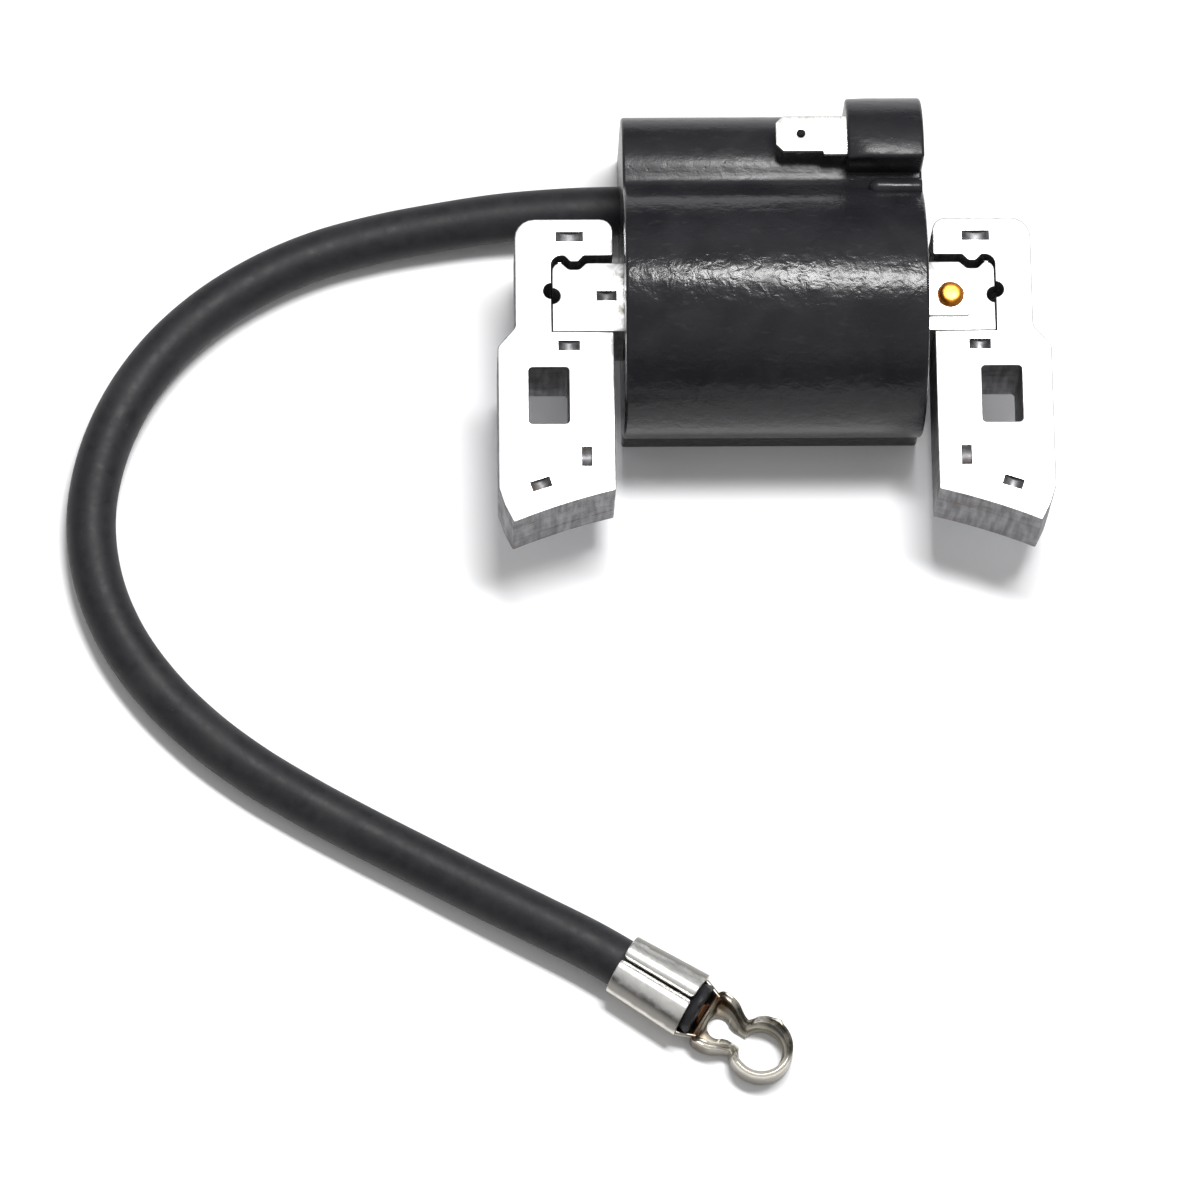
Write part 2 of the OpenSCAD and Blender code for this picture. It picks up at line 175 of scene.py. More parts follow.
def strip(low, high, count):
    """Faces between two rings of count points, given the number of each ring's first point."""
    turns = [(k, (k + 1) % count) for k in range(count)]
    return [(low + k, low + j, high + j, high + k) for k, j in turns]


def loft(rings, caps=True):
    """Points and faces of a skin over rings that hold the same number of points."""
    points = [p for ring in rings for p in ring]
    count = len(rings[0])
    last = len(points) - count
    faces = []
    for low in range(0, last, count):
        faces += strip(low, low + count, count)
    if caps:
        faces += [tuple(range(count)), tuple(range(last, len(points)))]
    return points, faces


def arc(cx, cy, r, start, end, steps):
    """Points of an arc; the angles are in degrees."""
    angles = [radians(start + (end - start) * i / steps) for i in range(steps + 1)]
    return [(cx + r * cos(a), cy + r * sin(a)) for a in angles]


def rectangle(x0, x1, y0, y1):
    return [(x0, y0), (x1, y0), (x1, y1), (x0, y1)]


QUARTER_TURN = [radians(15 * i) for i in range(7)]


def rounded_path(corners, steps=5):
    """Closed outline through corners (x, y, radius), each rounded by its radius."""
    out = []
    count = len(corners)
    for i, (x, y, r) in enumerate(corners):
        here = Vector((x, y))
        before = (Vector(corners[i - 1][:2]) - here).normalized()
        after = (Vector(corners[(i + 1) % count][:2]) - here).normalized()
        half = before.angle(after) / 2
        if r <= 0 or half > radians(88):
            out.append((x, y))
            continue
        reach = r / tan(half)
        middle = here + (before + after).normalized() * (r / sin(half))
        start = here + before * reach - middle
        end = here + after * reach - middle
        turn = start.angle_signed(end)
        first = atan2(start.y, start.x)
        for k in range(steps + 1):
            a = first - turn * k / steps
            out.append((middle.x + r * cos(a), middle.y + r * sin(a)))
    return out


def signed_area(path):
    return sum(a[0] * b[1] - b[0] * a[1] for a, b in zip(path, path[1:] + path[:1])) / 2


def outward(path):
    """Outward direction at each point of a closed path, long enough to keep walls parallel."""
    side = 1 if signed_area(path) > 0 else -1
    out = []
    for i, point in enumerate(path):
        here = Vector(point)
        a = (here - Vector(path[i - 1])).normalized()
        b = (Vector(path[(i + 1) % len(path)]) - here).normalized()
        along = (a + b).normalized()
        stretch = min(1 / max(along.dot(b), 0.3), 1.6)
        out.append(Vector((along.y, -along.x)) * side * stretch)
    return out


def grown(path, by):
    """The path moved outward by a distance, or inward if it is negative."""
    return [(p[0] + n.x * by, p[1] + n.y * by) for p, n in zip(path, outward(path))]


def skin_sheet(work, outline, holes, levels, flip=1):
    """Walls of an outline and its holes through levels (z, inset, shift); returns their two mouths."""
    mouths = [], []
    for path, side in [(outline, 1), *((hole, -1) for hole in holes)]:
        normals = outward(path)
        rows = []
        for z, inset, shift in levels:
            row = []
            for p, n in zip(path, normals):
                x, y = p[0] - n.x * inset * side + shift[0], p[1] - n.y * inset * side + shift[1]
                row.append(work.verts.new((x * flip, y, z)))
            rows.append(row)
        for low, high in zip(rows, rows[1:]):
            for k in range(len(path)):
                j = (k + 1) % len(path)
                work.faces.new((low[k], low[j], high[j], high[k]))
        for mouth, row in zip(mouths, (rows[0], rows[-1])):
            mouth.extend(work.edges.get((row[k], row[k - 1])) for k in range(len(row)))
    return mouths


def close_sheet(work, mouths):
    """Flat lower and upper sides of a sheet, between its outline and its holes."""
    for edges, up in zip(mouths, (-1, 1)):
        bmesh.ops.triangle_fill(work, use_beauty=True, edges=edges, normal=(0, 0, up))


def lookup(table, x):
    """Value between the nearest two (x, value) pairs of a table."""
    for (x0, y0), (x1, y1) in zip(table, table[1:]):
        if x <= x1:
            t = min(max((x - x0) / (x1 - x0), 0), 1)
            return y0 + (y1 - y0) * t * t * (3 - 2 * t)
    return table[-1][1]


# ---- material helpers

WAVE_PERIOD = 0.314  # of a wave texture at scale 1
NOISE_SPAN = (0.3, 0.7)  # most of a noise texture's values lie in it


class Paint:
    """Node material that is worked out from the place on the piece, in millimetres."""

    def __init__(self, name, **values):
        self.material = bpy.data.materials.new(name)
        self.material.use_nodes = True
        self.tree = self.material.node_tree
        self.sockets = self.tree.nodes["Principled BSDF"].inputs
        for socket, value in values.items():
            self.put(self.sockets[socket.replace("_", " ")], value)
        place = self.node("ShaderNodeTexCoord", {})["Object"]
        self.place = self.scaled(place, (1 / MM, 1 / MM, 1 / MM))

    def put(self, socket, value):
        """Links a node's output to a socket, or gives it a plain value."""
        if isinstance(value, bpy.types.NodeSocket):
            self.tree.links.new(value, socket)
        else:
            socket.default_value = (*value, 1) if socket.type == "RGBA" else value

    def node(self, kind, inputs, **settings):
        """Outputs of a new node; what goes into its inputs is given by their name or number."""
        made = self.tree.nodes.new(kind)
        for setting, value in settings.items():
            setattr(made, setting, value)
        for key, value in inputs.items():
            self.put(made.inputs[key], value)
        return made.outputs

    def scaled(self, vector, scale, turn=(0, 0, 0)):
        turn = [radians(a) for a in turn]
        return self.node("ShaderNodeMapping", {"Vector": vector, "Scale": scale, "Rotation": turn})["Vector"]

    def noise(self, size, detail=3.0, stretch=(1, 1, 1), turn=(0, 0, 0), distortion=0.0):
        """Noise whose blotches are about size millimetres across."""
        place = self.scaled(self.place, stretch, turn)
        inputs = {"Vector": place, "Scale": 1 / size, "Detail": detail, "Distortion": distortion}
        return self.node("ShaderNodeTexNoise", inputs)["Fac"]

    def cells(self, size, feature="F1"):
        """Distance from the middle or the edge of cells about size millimetres across."""
        inputs = {"Vector": self.place, "Scale": 1 / size}
        return self.node("ShaderNodeTexVoronoi", inputs, feature=feature)["Distance"]

    def waves(self, size, direction="X", distortion=0.0):
        """Bands across a direction, one every size millimetres."""
        scale = WAVE_PERIOD / size
        inputs = {"Vector": self.place, "Scale": scale, "Distortion": distortion, "Detail": 1.0}
        return self.node("ShaderNodeTexWave", inputs, bands_direction=direction)["Fac"]

    def range(self, value, low, high, to_low=0.0, to_high=1.0):
        """Brings a value from one range to another, and keeps it there."""
        inputs = {"Value": value, "From Min": low, "From Max": high, "To Min": to_low, "To Max": to_high}
        return self.node("ShaderNodeMapRange", inputs)["Result"]

    def math(self, operation, a, b):
        return self.node("ShaderNodeMath", {0: a, 1: b}, operation=operation)["Value"]

    def mix(self, factor, a, b):
        """Colour between a and b; each is a colour or another mix's output."""
        return self.node("ShaderNodeMix", {"Factor": factor, 6: a, 7: b}, data_type="RGBA")[2]

    def mask(self, centre, radius, fade):
        """1 within radius of a point in millimetres, fading to 0."""
        inputs = {0: self.place, 1: centre}
        away = self.node("ShaderNodeVectorMath", inputs, operation="DISTANCE")["Value"]
        return self.range(away, radius, radius + fade, 1.0, 0.0)

    def axis(self, name):
        return self.node("ShaderNodeSeparateXYZ", {0: self.place})[name]

    def colour(self, output):
        self.put(self.sockets["Base Color"], output)

    def roughness(self, output):
        self.put(self.sockets["Roughness"], output)

    def rough(self, noise, low, high):
        """Roughness from low to high, following a noise."""
        self.roughness(self.range(noise, *NOISE_SPAN, low, high))

    def bump(self, height, distance):
        """Adds relief of distance millimetres; later calls add to earlier ones."""
        inputs = {"Height": height, "Distance": distance * MM, "Strength": 1.0}
        normal = self.sockets["Normal"]
        if normal.is_linked:
            inputs["Normal"] = normal.links[0].from_socket
        self.put(normal, self.node("ShaderNodeBump", inputs)["Normal"])


# ---- materials

def steel_face():
    """Rolled face of the lamination sheets: pale, with faint rolling marks and light stains."""
    paint = Paint("lamination_face", Metallic=1.0)
    rolling = paint.noise(0.9, 4, stretch=(1, 0.06, 1), turn=(0, 0, 4))
    stain = paint.range(paint.noise(9, 4, distortion=0.6), 0.45, 0.72)
    tone = paint.mix(stain, (0.9, 0.905, 0.92), (0.78, 0.78, 0.78))
    by_housing = paint.range(paint.math("ABSOLUTE", paint.axis("X"), 0), 21, 24.6, 1, 0)
    smudge = paint.range(paint.noise(2.4, 4, distortion=0.9), 0.44, 0.62)
    tone = paint.mix(paint.math("MULTIPLY", by_housing, smudge), tone, (0.16, 0.15, 0.125))
    paint.colour(paint.mix(paint.range(paint.noise(0.6, 2), 0.66, 0.8), tone, (0.6, 0.58, 0.55)))
    paint.rough(rolling, 0.34, 0.5)
    paint.bump(rolling, 0.006)
    paint.bump(paint.noise(2.5, 3), 0.02)
    return paint.material


def steel_edge():
    """Sheared edges of the sheets: grey, with smears across the stack and some light rust."""
    paint = Paint("lamination_edge", Metallic=1.0)
    smear = paint.noise(0.8, 5, stretch=(1, 1, 0.12))
    patch = paint.noise(4, 4, distortion=0.8)
    sheet = paint.waves(0.635, "Z", 0.4)
    tone = paint.mix(paint.range(smear, 0.35, 0.7), (0.17, 0.168, 0.175), (0.33, 0.325, 0.335))
    tone = paint.mix(paint.range(patch, 0.58, 0.78), tone, (0.24, 0.195, 0.16))
    paint.colour(paint.mix(paint.range(sheet, 0.0, 0.3, 0.35, 0.0), tone, (0.1, 0.097, 0.094)))
    paint.rough(patch, 0.45, 0.7)
    paint.bump(smear, 0.02)
    return paint.material


def housing_plastic():
    """Black moulded plastic: satin, with a leathery grain, small pits and short slanting scuffs."""
    paint = Paint("housing_plastic", Specular_IOR_Level=0.22)
    smooth_box = paint.range(paint.axis("Y"), 14, 16, 1, 0.35)
    leather = paint.math("MULTIPLY", paint.noise(1.6, 4, distortion=0.6), smooth_box)
    cloud = paint.noise(6, 4, distortion=0.5)
    scuff = paint.noise(0.9, 4, stretch=(0.35, 1, 1), turn=(0, 0, 35))
    rubbed = paint.range(scuff, 0.6, 0.74)
    dust = paint.range(paint.noise(0.45, 3, distortion=1.0), 0.7, 0.78)
    tone = paint.mix(paint.range(cloud, 0.35, 0.7), (0.013, 0.013, 0.0155), (0.02, 0.0195, 0.0225))
    tone = paint.mix(paint.math("MULTIPLY", rubbed, 0.3), tone, (0.035, 0.034, 0.036))
    paint.colour(paint.mix(paint.math("MULTIPLY", dust, 0.16), tone, (0.12, 0.115, 0.11)))
    shine = paint.math("ADD", paint.range(cloud, 0.3, 0.7, 0.15, 0.23), paint.range(rubbed, 0, 1, 0, 0.12))
    paint.roughness(paint.math("ADD", shine, paint.range(paint.axis("Y"), 15.2, 17, 0, 0.1)))
    paint.bump(leather, 0.09)
    paint.bump(paint.noise(0.25, 3), 0.008)
    paint.bump(scuff, 0.03)
    paint.bump(paint.range(paint.cells(1.6), 0.0, 0.16), 0.02)
    return paint.material


def potting_resin():
    """Cast resin in the open back: nearly black brown, glossy, slightly wavy, with small pits."""
    paint = Paint("potting_resin")
    paint.colour(paint.mix(paint.noise(4, 3), (0.02, 0.016, 0.012), (0.05, 0.037, 0.026)))
    paint.rough(paint.noise(1.5, 4), 0.18, 0.4)
    paint.bump(paint.noise(7, 2), 0.3)
    paint.bump(paint.range(paint.cells(2.4), 0.0, 0.16), 0.15)
    return paint.material


def bobbin_plastic():
    """Moulded spool plastic, off-white in the coil's inside, with glass-fibre streaks."""
    paint = Paint("bobbin_plastic")
    fibre = paint.noise(0.5, 3, stretch=(0.12, 1, 1))
    paint.colour(paint.mix(fibre, (0.56, 0.52, 0.44), (0.68, 0.64, 0.56)))
    paint.rough(fibre, 0.42, 0.6)
    paint.bump(fibre, 0.01)
    return paint.material


def winding_copper(name, pitch):
    """Layer of enamelled wire, wound round the core bar at the given pitch."""
    paint = Paint(name, Metallic=1.0)
    turns = paint.waves(pitch, "X", 0.15)
    tone = paint.noise(3, 3)
    bright = paint.mix(tone, (0.62, 0.24, 0.09), (0.75, 0.36, 0.15))
    paint.colour(paint.mix(paint.range(turns, 0.0, 0.35, 0.8, 0.0), bright, (0.16, 0.05, 0.02)))
    paint.rough(tone, 0.22, 0.4)
    paint.bump(turns, pitch / 2)
    return paint.material


def insulation_film():
    """Wrapped amber film, with soft creases."""
    paint = Paint("insulation_film")
    crease = paint.noise(3, 4, stretch=(1, 0.3, 0.3), distortion=0.4)
    paint.colour(paint.mix(crease, (0.6, 0.36, 0.07), (0.75, 0.5, 0.15)))
    paint.rough(crease, 0.2, 0.38)
    paint.bump(crease, 0.08)
    return paint.material


def board_laminate():
    """Glass-fibre board under green lacquer, with its weave and copper tracks just showing."""
    paint = Paint("board_laminate")
    weave = paint.math("MULTIPLY", paint.waves(0.4, "X"), paint.waves(0.4, "Z"))
    tracks = paint.range(paint.cells(2.2, feature="DISTANCE_TO_EDGE"), 0.1, 0.13)
    tone = paint.mix(weave, (0.015, 0.1, 0.035), (0.03, 0.16, 0.06))
    paint.colour(paint.mix(tracks, (0.06, 0.24, 0.08), tone))
    paint.roughness(paint.range(weave, 0, 1, 0.28, 0.42))
    paint.bump(weave, 0.02)
    return paint.material


def component_black():
    paint = Paint("component_black")
    grain = paint.noise(0.15, 3)
    paint.colour(paint.mix(grain, (0.014, 0.014, 0.014), (0.03, 0.03, 0.03)))
    paint.rough(grain, 0.42, 0.62)
    paint.bump(grain, 0.015)
    return paint.material


def resistor_body():
    """Lacquered body with three plain colour rings."""
    paint = Paint("resistor_body")
    low, high = node_box("resistors")
    along = paint.axis("Z")
    tone = paint.mix(paint.noise(0.7, 3), (0.5, 0.34, 0.18), (0.62, 0.46, 0.27))
    ring_t = 0.45
    for place, ring in ((0.35, (0.3, 0.08, 0.02)), (0.5, (0.02, 0.02, 0.02)), (0.65, (0.5, 0.02, 0.02))):
        z = low.z + (high.z - low.z) * place
        off = paint.math("ABSOLUTE", paint.math("SUBTRACT", along, z), 0)
        tone = paint.mix(paint.range(off, ring_t - 0.05, ring_t + 0.05), ring, tone)
    paint.colour(tone)
    paint.rough(paint.noise(0.4, 3), 0.24, 0.4)
    return paint.material


def tinned_steel(name, tint, rough):
    """Bright tinned sheet metal, drawn and slightly wavy, with fine handling marks."""
    paint = Paint(name, Metallic=1.0)
    cloud = paint.noise(2.2, 4, distortion=0.5)
    marks = paint.noise(0.25, 4, stretch=(1, 0.2, 1), turn=(0, 0, 32))
    darker_tint = tuple(c * 0.8 for c in tint)
    paint.colour(paint.mix(paint.range(cloud, 0.4, 0.75), tint, darker_tint))
    paint.rough(marks, *rough)
    paint.bump(cloud, 0.02)
    paint.bump(marks, 0.002)
    return paint


def clip_tin():
    """The clip's tin, with painted reflection and shade: bands by height, painted shade inside the pan and
    the cup, and brown painted shade in the pan's two back corners.
    """
    paint = tinned_steel("clip_tin", (0.93, 0.92, 0.89), (0.32, 0.46))
    tone = paint.sockets["Base Color"].links[0].from_socket
    patchy = paint.math("SUBTRACT", paint.noise(1.4, 3), 0.5)
    height = paint.math("ADD", paint.axis("Z"), patchy)
    # Painted reflection and shade in bands by height: darker from 5.7 to 7.3 mm up, paler below 4.9 mm,
    # darker again below 3.4 mm.
    for low, high, below in (
        (7.3, 7.8, (0.25, 0.24, 0.22)), (4.9, 5.7, (0.78, 0.75, 0.68)), (3.4, 4.3, (0.42, 0.395, 0.34)),
    ):
        tone = paint.mix(paint.range(height, low, high, 1, 0), tone, below)
    spread = paint.math("ADD", paint.noise(1.0, 3), 0.5)
    # Painted shade: the grey and dark spots darken the inside of the pan and the cup, and the brown ones the
    # pan's two back corners.
    darker_tint, painted_shade_dark, brown = (0.26, 0.24, 0.2), (0.09, 0.082, 0.066), (0.13, 0.07, 0.028)
    painted_shade_spots = [
        (CUP_X, 0, 2.2, 2.7, 0.9, darker_tint), (17.2, 0, 2.2, 1.8, 1.4, darker_tint), (14.4, 0, 1.8, 1.4, 1.2, darker_tint),
        (17.6, 3.0, 3.0, 1.1, 1.6, painted_shade_dark), (CUP_X + 0.6, 4.0, 3.6, 1.7, 1.5, painted_shade_dark),
        (CUP_X + 3.6, 2.2, 3.6, 1.2, 1.5, painted_shade_dark),
        (14.3, 2.9, 2.4, 0.8, 1.8, brown), (14.3, -2.9, 2.4, 0.8, 1.8, brown),
    ]
    for u, v, z, radius, fade, tint in painted_shade_spots:
        painted_shade_spot = paint.math("MULTIPLY", paint.mask(tuple(clip_point(u, v, z)), radius, fade), spread)
        tone = paint.mix(painted_shade_spot, tone, tint)
    paint.colour(tone)
    return paint.material


def rivet_copper():
    """Bright copper, hammered on top and darker towards the bottom of its head."""
    top = node_box("ground_rivet")[1].z
    paint = Paint("rivet_copper", Metallic=1.0)
    dents = paint.noise(0.8, 3)
    height = paint.range(paint.axis("Z"), top - 0.85, top - 0.25)
    tone = paint.mix(dents, (0.8, 0.27, 0.03), (0.95, 0.42, 0.07))
    paint.colour(paint.mix(height, (0.5, 0.13, 0.02), tone))
    paint.rough(dents, 0.3, 0.44)
    paint.bump(dents, 0.05)
    return paint.material


def socket_brass():
    paint = Paint("socket_brass", Metallic=1.0)
    turned = paint.waves(0.12, "X", 0.2)
    paint.colour(paint.mix(paint.noise(1.5, 3), (0.7, 0.48, 0.18), (0.85, 0.62, 0.28)))
    paint.roughness(paint.range(turned, 0, 1, 0.22, 0.36))
    paint.bump(turned, 0.01)
    return paint.material


def lead_rubber():
    """Charcoal rubber jacket: matte, slightly mottled, with dust and light handling marks."""
    paint = Paint("lead_rubber", Specular_IOR_Level=0.24)
    mottle = paint.noise(1.6, 4, distortion=0.4)
    dust = paint.range(paint.noise(0.45, 4, distortion=1.5), 0.68, 0.78)
    tone = paint.mix(paint.range(mottle, 0.3, 0.7), (0.013, 0.013, 0.015), (0.02, 0.02, 0.0225))
    tone = paint.mix(paint.range(paint.noise(9, 3), 0.5, 0.75, 0, 0.5), tone, (0.033, 0.033, 0.0345))
    paint.colour(paint.mix(paint.math("MULTIPLY", dust, 0.35), tone, (0.1, 0.097, 0.09)))
    paint.rough(mottle, 0.46, 0.6)
    paint.bump(mottle, 0.04)
    paint.bump(paint.noise(0.3, 3), 0.012)
    return paint.material


def conductor_copper():
    paint = Paint("conductor_copper", Metallic=1.0)
    tone = paint.noise(0.5, 3)
    paint.colour(paint.mix(tone, (0.12, 0.05, 0.02), (0.22, 0.1, 0.045)))
    paint.rough(tone, 0.45, 0.6)
    return paint.material


# ---- lead

# The clip's back end and the way it points, in the object's frame
CLIP_AT = Vector((-22.0, -89.9, 0.0))
CLIP_TURN = radians(-32)
CLIP_AXIS_Z = 4.4
CLIP_WAY = Vector((cos(CLIP_TURN), sin(CLIP_TURN), 0))
CLIP_SIDE = Vector((-CLIP_WAY.y, CLIP_WAY.x, 0))
LEAD_IN_CRIMP = 12.6
# Centre line of the lead in the object's frame, as the CAD model has it
LEAD_ROUTE = [
    (-14, 20.4, 5.6), (-21, 20.4, 5.6), (-29, 20.3, 5.2), (-38, 19.8, 4.5), (-47, 18.6, 3.9),
    (-55.5, 17, 3.6), (-64, 14.6, 3.5), (-72, 11, 3.5), (-79.5, 6.1, 3.5), (-86, -0.1, 3.5),
    (-91.1, -7.5, 3.5), (-94.5, -15.8, 3.5), (-95.9, -24.6, 3.5), (-94.9, -33.5, 3.5),
    (-91.7, -41.8, 3.5), (-86.7, -49.2, 3.5), (-80.4, -55.7, 3.5), (-73.4, -61.2, 3.5),
    (-65.8, -66, 3.5), (-58, -70.4, 3.5), (-50, -74.7, 3.6), (-42, -79, 3.8),
    (-34, -83.2, 4.1), (-27, -86.9, 4.3),
]
LEAD_SIDES = 48
LEAD_STEPS = 8
LEAD_EDGE = 0.35
GRIP_SQUEEZE, END_BULGE = 0.12, 0.25
WING_DENT, WING_DENT_HALF = 1.05, 1.3


def clip_point(u, v=0.0, z=CLIP_AXIS_Z):
    """Point of the clip's own frame, u along it and v to its left, in the object's frame."""
    return CLIP_AT + CLIP_WAY * u + CLIP_SIDE * v + Vector((0, 0, z))


def smooth_line(points, steps):
    """Catmull-Rom line through the points."""
    ends = [points[0] * 2 - points[1], *points, points[-1] * 2 - points[-2]]
    out = []
    for a, b, c, d in zip(ends, ends[1:], ends[2:], ends[3:]):
        for i in range(steps):
            t = i / steps
            out.append((b * 2 + (c - a) * t + (a * 2 - b * 5 + c * 4 - d) * t**2
                        + (b * 3 - a - c * 3 + d) * t**3) / 2)
    return [*out, points[-1]]


def headings(line):
    """The way an open line goes at each of its points."""
    return [(b - a).normalized() for a, b in zip([line[0], *line], [*line[1:], line[-1]])]


def tube_rings(line, radii, sides, across=None):
    """Rings of a tube round a line, kept level, or square to a given direction."""
    rings = []
    for at, radius, ahead in zip(line, radii, headings(line)):
        side = across or ahead.cross(Vector((0, 0, 1))).normalized()
        up = side.cross(ahead)
        turns = [2 * pi * k / sides for k in range(sides)]
        rings.append([at + (side * cos(a) + up * sin(a)) * radius for a in turns])
    return rings


def gripped(u):
    """How far the crimped barrel's grip has set in, from 0 to 1, at u along the clip."""
    return 1 / (1 + exp(-(u - 0.7) * 4)) / (1 + exp((u - 11.3) * 7))


def make_lead():
    """Rubber jacket, pressed in by the crimp's two wings, with its end cut off by hand."""
    route = [Vector(p) for p in LEAD_ROUTE]
    route += [clip_point(u) for u in (0, LEAD_IN_CRIMP / 2)]
    line = smooth_line(route, LEAD_STEPS)
    steps = 18
    line += [clip_point(LEAD_IN_CRIMP * (0.5 + 0.5 * i / steps)) for i in range(1, steps + 1)]
    along = [(p - CLIP_AT).dot(CLIP_WAY) for p in line]
    bulge = [END_BULGE * lookup([(11.3, 0), (11.9, 1), (12.6, 1)], u) for u in along]
    radii = [LEAD_R - 0.01 - GRIP_SQUEEZE * gripped(u) + extra for u, extra in zip(along, bulge)]
    line = [line[0], line[0], *line[1:-1], line[-1], line[-1]]
    radii = [radii[0] - LEAD_EDGE, radii[0], *radii[1:-1], radii[-1], radii[-1] - LEAD_EDGE]
    line[1] = line[0] + (line[2] - line[0]).normalized() * LEAD_EDGE / 2
    line[-2] = line[-1] + (line[-3] - line[-1]).normalized() * LEAD_EDGE / 2
    rings = tube_rings(line, radii, LEAD_SIDES)
    draw, end_jitter, side_jitter = random.Random(11), 0.14, 0.03
    for ring, at in [*zip(rings, line)][-4:]:
        for p in ring:
            along = draw.uniform(-end_jitter, end_jitter)
            p += CLIP_WAY * along + (p - at) * draw.uniform(-side_jitter, side_jitter)
    for ring, at in zip(rings, line):
        grip = gripped((at - CLIP_AT).dot(CLIP_WAY))
        for p in ring:
            v = (p - at).dot(CLIP_SIDE)
            if p.z > at.z:
                p.z -= WING_DENT * exp(-((v / WING_DENT_HALF) ** 2)) * grip
    lead = piece("ignition_lead_jacket", *loft(rings), lead_rubber())
    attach(lead, "root")
    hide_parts("ignition_lead")
    return lead, line


lead, lead_line = make_lead()

# ---- lamination stacks

SHEETS = 20
JOINT_Y = CORE_HALF + 1.05
STAKE_R = 1.13
STAKE_LEG_Y = 0.95
STAKE_CORE_Y = 0.2
NIB_X = 27.9
POLE_R = 95.6
POLE_DROP = 121.3
SLOT = (31.6, -14.45, 5.6, 8.2, 0.5)  # x, y, width, length, corner radius
RIVET_X, RIVET_SHANK_R = 24.75, 1.0
DIMPLE = (1.5, 0.85, 10)  # width, depth, steps of its bottom
# x, y, turn in degrees, length
LEG_DIMPLES = [(28.5, 9, 0, 3.9), (28.7, -7.1, 0, 3.1), (26.4, -23.4, 90, 2.9), (32.8, -27.4, -18, 2.9)]
CORE_DIMPLES = [(-23.4, 0.2, 0, 2.9)]


def pole_y(x):
    return -POLE_DROP + sqrt(POLE_R**2 - x**2)


def leg_outline():
    """Outline of one sheet of the right leg, in the coil frame."""
    pole_x, pole_steps = 36.65, 10
    mouth, floor, deep = 1.35, 0.55, 0.88
    pole = [LEG_IN + (pole_x - LEG_IN) * i / pole_steps for i in range(1, pole_steps)]
    corners = [(LEG_IN, pole_y(LEG_IN), 0.25)]
    corners += [(x, pole_y(x), 0) for x in pole]
    corners += [
        (pole_x, pole_y(pole_x), 0.25), (37.9, -30.5, 0.6), (LEG_OUT, -28, 1.5), (LEG_OUT, -7.3, 1.2),
        (36.2, -4.4, 1.2), (36.2, LEG_TOP, 2.8), (LEG_IN, LEG_TOP, 1.8), (LEG_IN, JOINT_Y, 0.35),
        (NIB_X - mouth, JOINT_Y, 0.5), (NIB_X - floor, JOINT_Y - deep, 0.55),
        (NIB_X + floor, JOINT_Y - deep, 0.55), (NIB_X + mouth, JOINT_Y, 0.5), (CORE_END, JOINT_Y, 1.4),
    ]
    corners += [(x, y, 0) for x, y in arc(CORE_END, STAKE_LEG_Y, STAKE_R, 90, -90, 12)]
    corners += [(CORE_END, -CORE_HALF, 0), (LEG_IN, -CORE_HALF, 0.3)]
    return rounded_path(corners)


def core_outline():
    """Outline of one sheet of the core bar."""
    end = CORE_END - 0.1
    mouth, floor, deep, r = 1.75, 0.75, 0.95, 0.75
    half = [(end, -CORE_HALF, 0)]
    half += [(x, y, 0) for x, y in arc(end, STAKE_CORE_Y, STAKE_R, 270, 90, 12)]
    half += [
        (end, CORE_HALF, 1.2), (NIB_X + mouth, CORE_HALF, r), (NIB_X + floor, CORE_HALF - deep, r),
        (NIB_X - floor, CORE_HALF - deep, r), (NIB_X - mouth, CORE_HALF, r),
    ]
    return rounded_path(half + [(-x, y, r) for x, y, r in reversed(half)])


def slot_outline():
    x, y, w, length, r = SLOT
    corners = rectangle(x - w / 2, x + w / 2, y - length / 2, y + length / 2)
    return rounded_path([(*corner, r) for corner in corners])


def stack_rings(draw):
    """(height, inset, shift) of each ring up the side of a stack of sheets."""
    thick = 2 * STACK_HALF / SHEETS
    groove, lip, rollover = 0.05, 0.07, 0.13
    jitter, wider = 0.018, 0.02
    rings = []
    for i in range(SHEETS):
        low = -STACK_HALF + i * thick
        shift = (draw.uniform(-jitter, jitter), draw.uniform(-jitter, jitter))
        wide = draw.uniform(0, wider)
        first, last = i == 0, i == SHEETS - 1
        rings.append((low, rollover if first else groove, shift))
        rings.append((low + (rollover if first else lip), wide, shift))
        rings.append((low + thick - (rollover if last else lip), wide, shift))
        if last:
            rings.append((low + thick - rollover * 0.3, rollover * 0.3, shift))
        rings.append((low + thick, rollover if last else groove, shift))
    return rings


def rivet_hole(clear):
    return arc(RIVET_X, 0, RIVET_SHANK_R + clear, 0, 345, 23)


def make_stack(name, outline, holes, dimples, flip, seed):
    """A stack of pressed sheets, with the sheets' edges showing and the interlock dimples."""
    work = bmesh.new()
    mouths = skin_sheet(work, outline, holes, stack_rings(random.Random(seed)), flip)
    for x, y, turn, length in dimples:
        mouths[1].extend(add_dimple(work, x * flip, y, turn * flip, length))
    sheared = set(work.faces)
    close_sheet(work, mouths)
    for face in work.faces:
        face.material_index = 1 if face in sheared else 0
    bmesh.ops.recalc_face_normals(work, faces=work.faces)
    for vert in work.verts:
        vert.co = (vert.co + COIL) * MM
    mesh = bpy.data.meshes.new(name)
    work.to_mesh(mesh)
    work.free()
    shade(mesh, 30)
    mesh.materials.append(face_steel)
    mesh.materials.append(edge_steel)
    obj = placed(name, mesh)
    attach(obj, "root")
    return obj


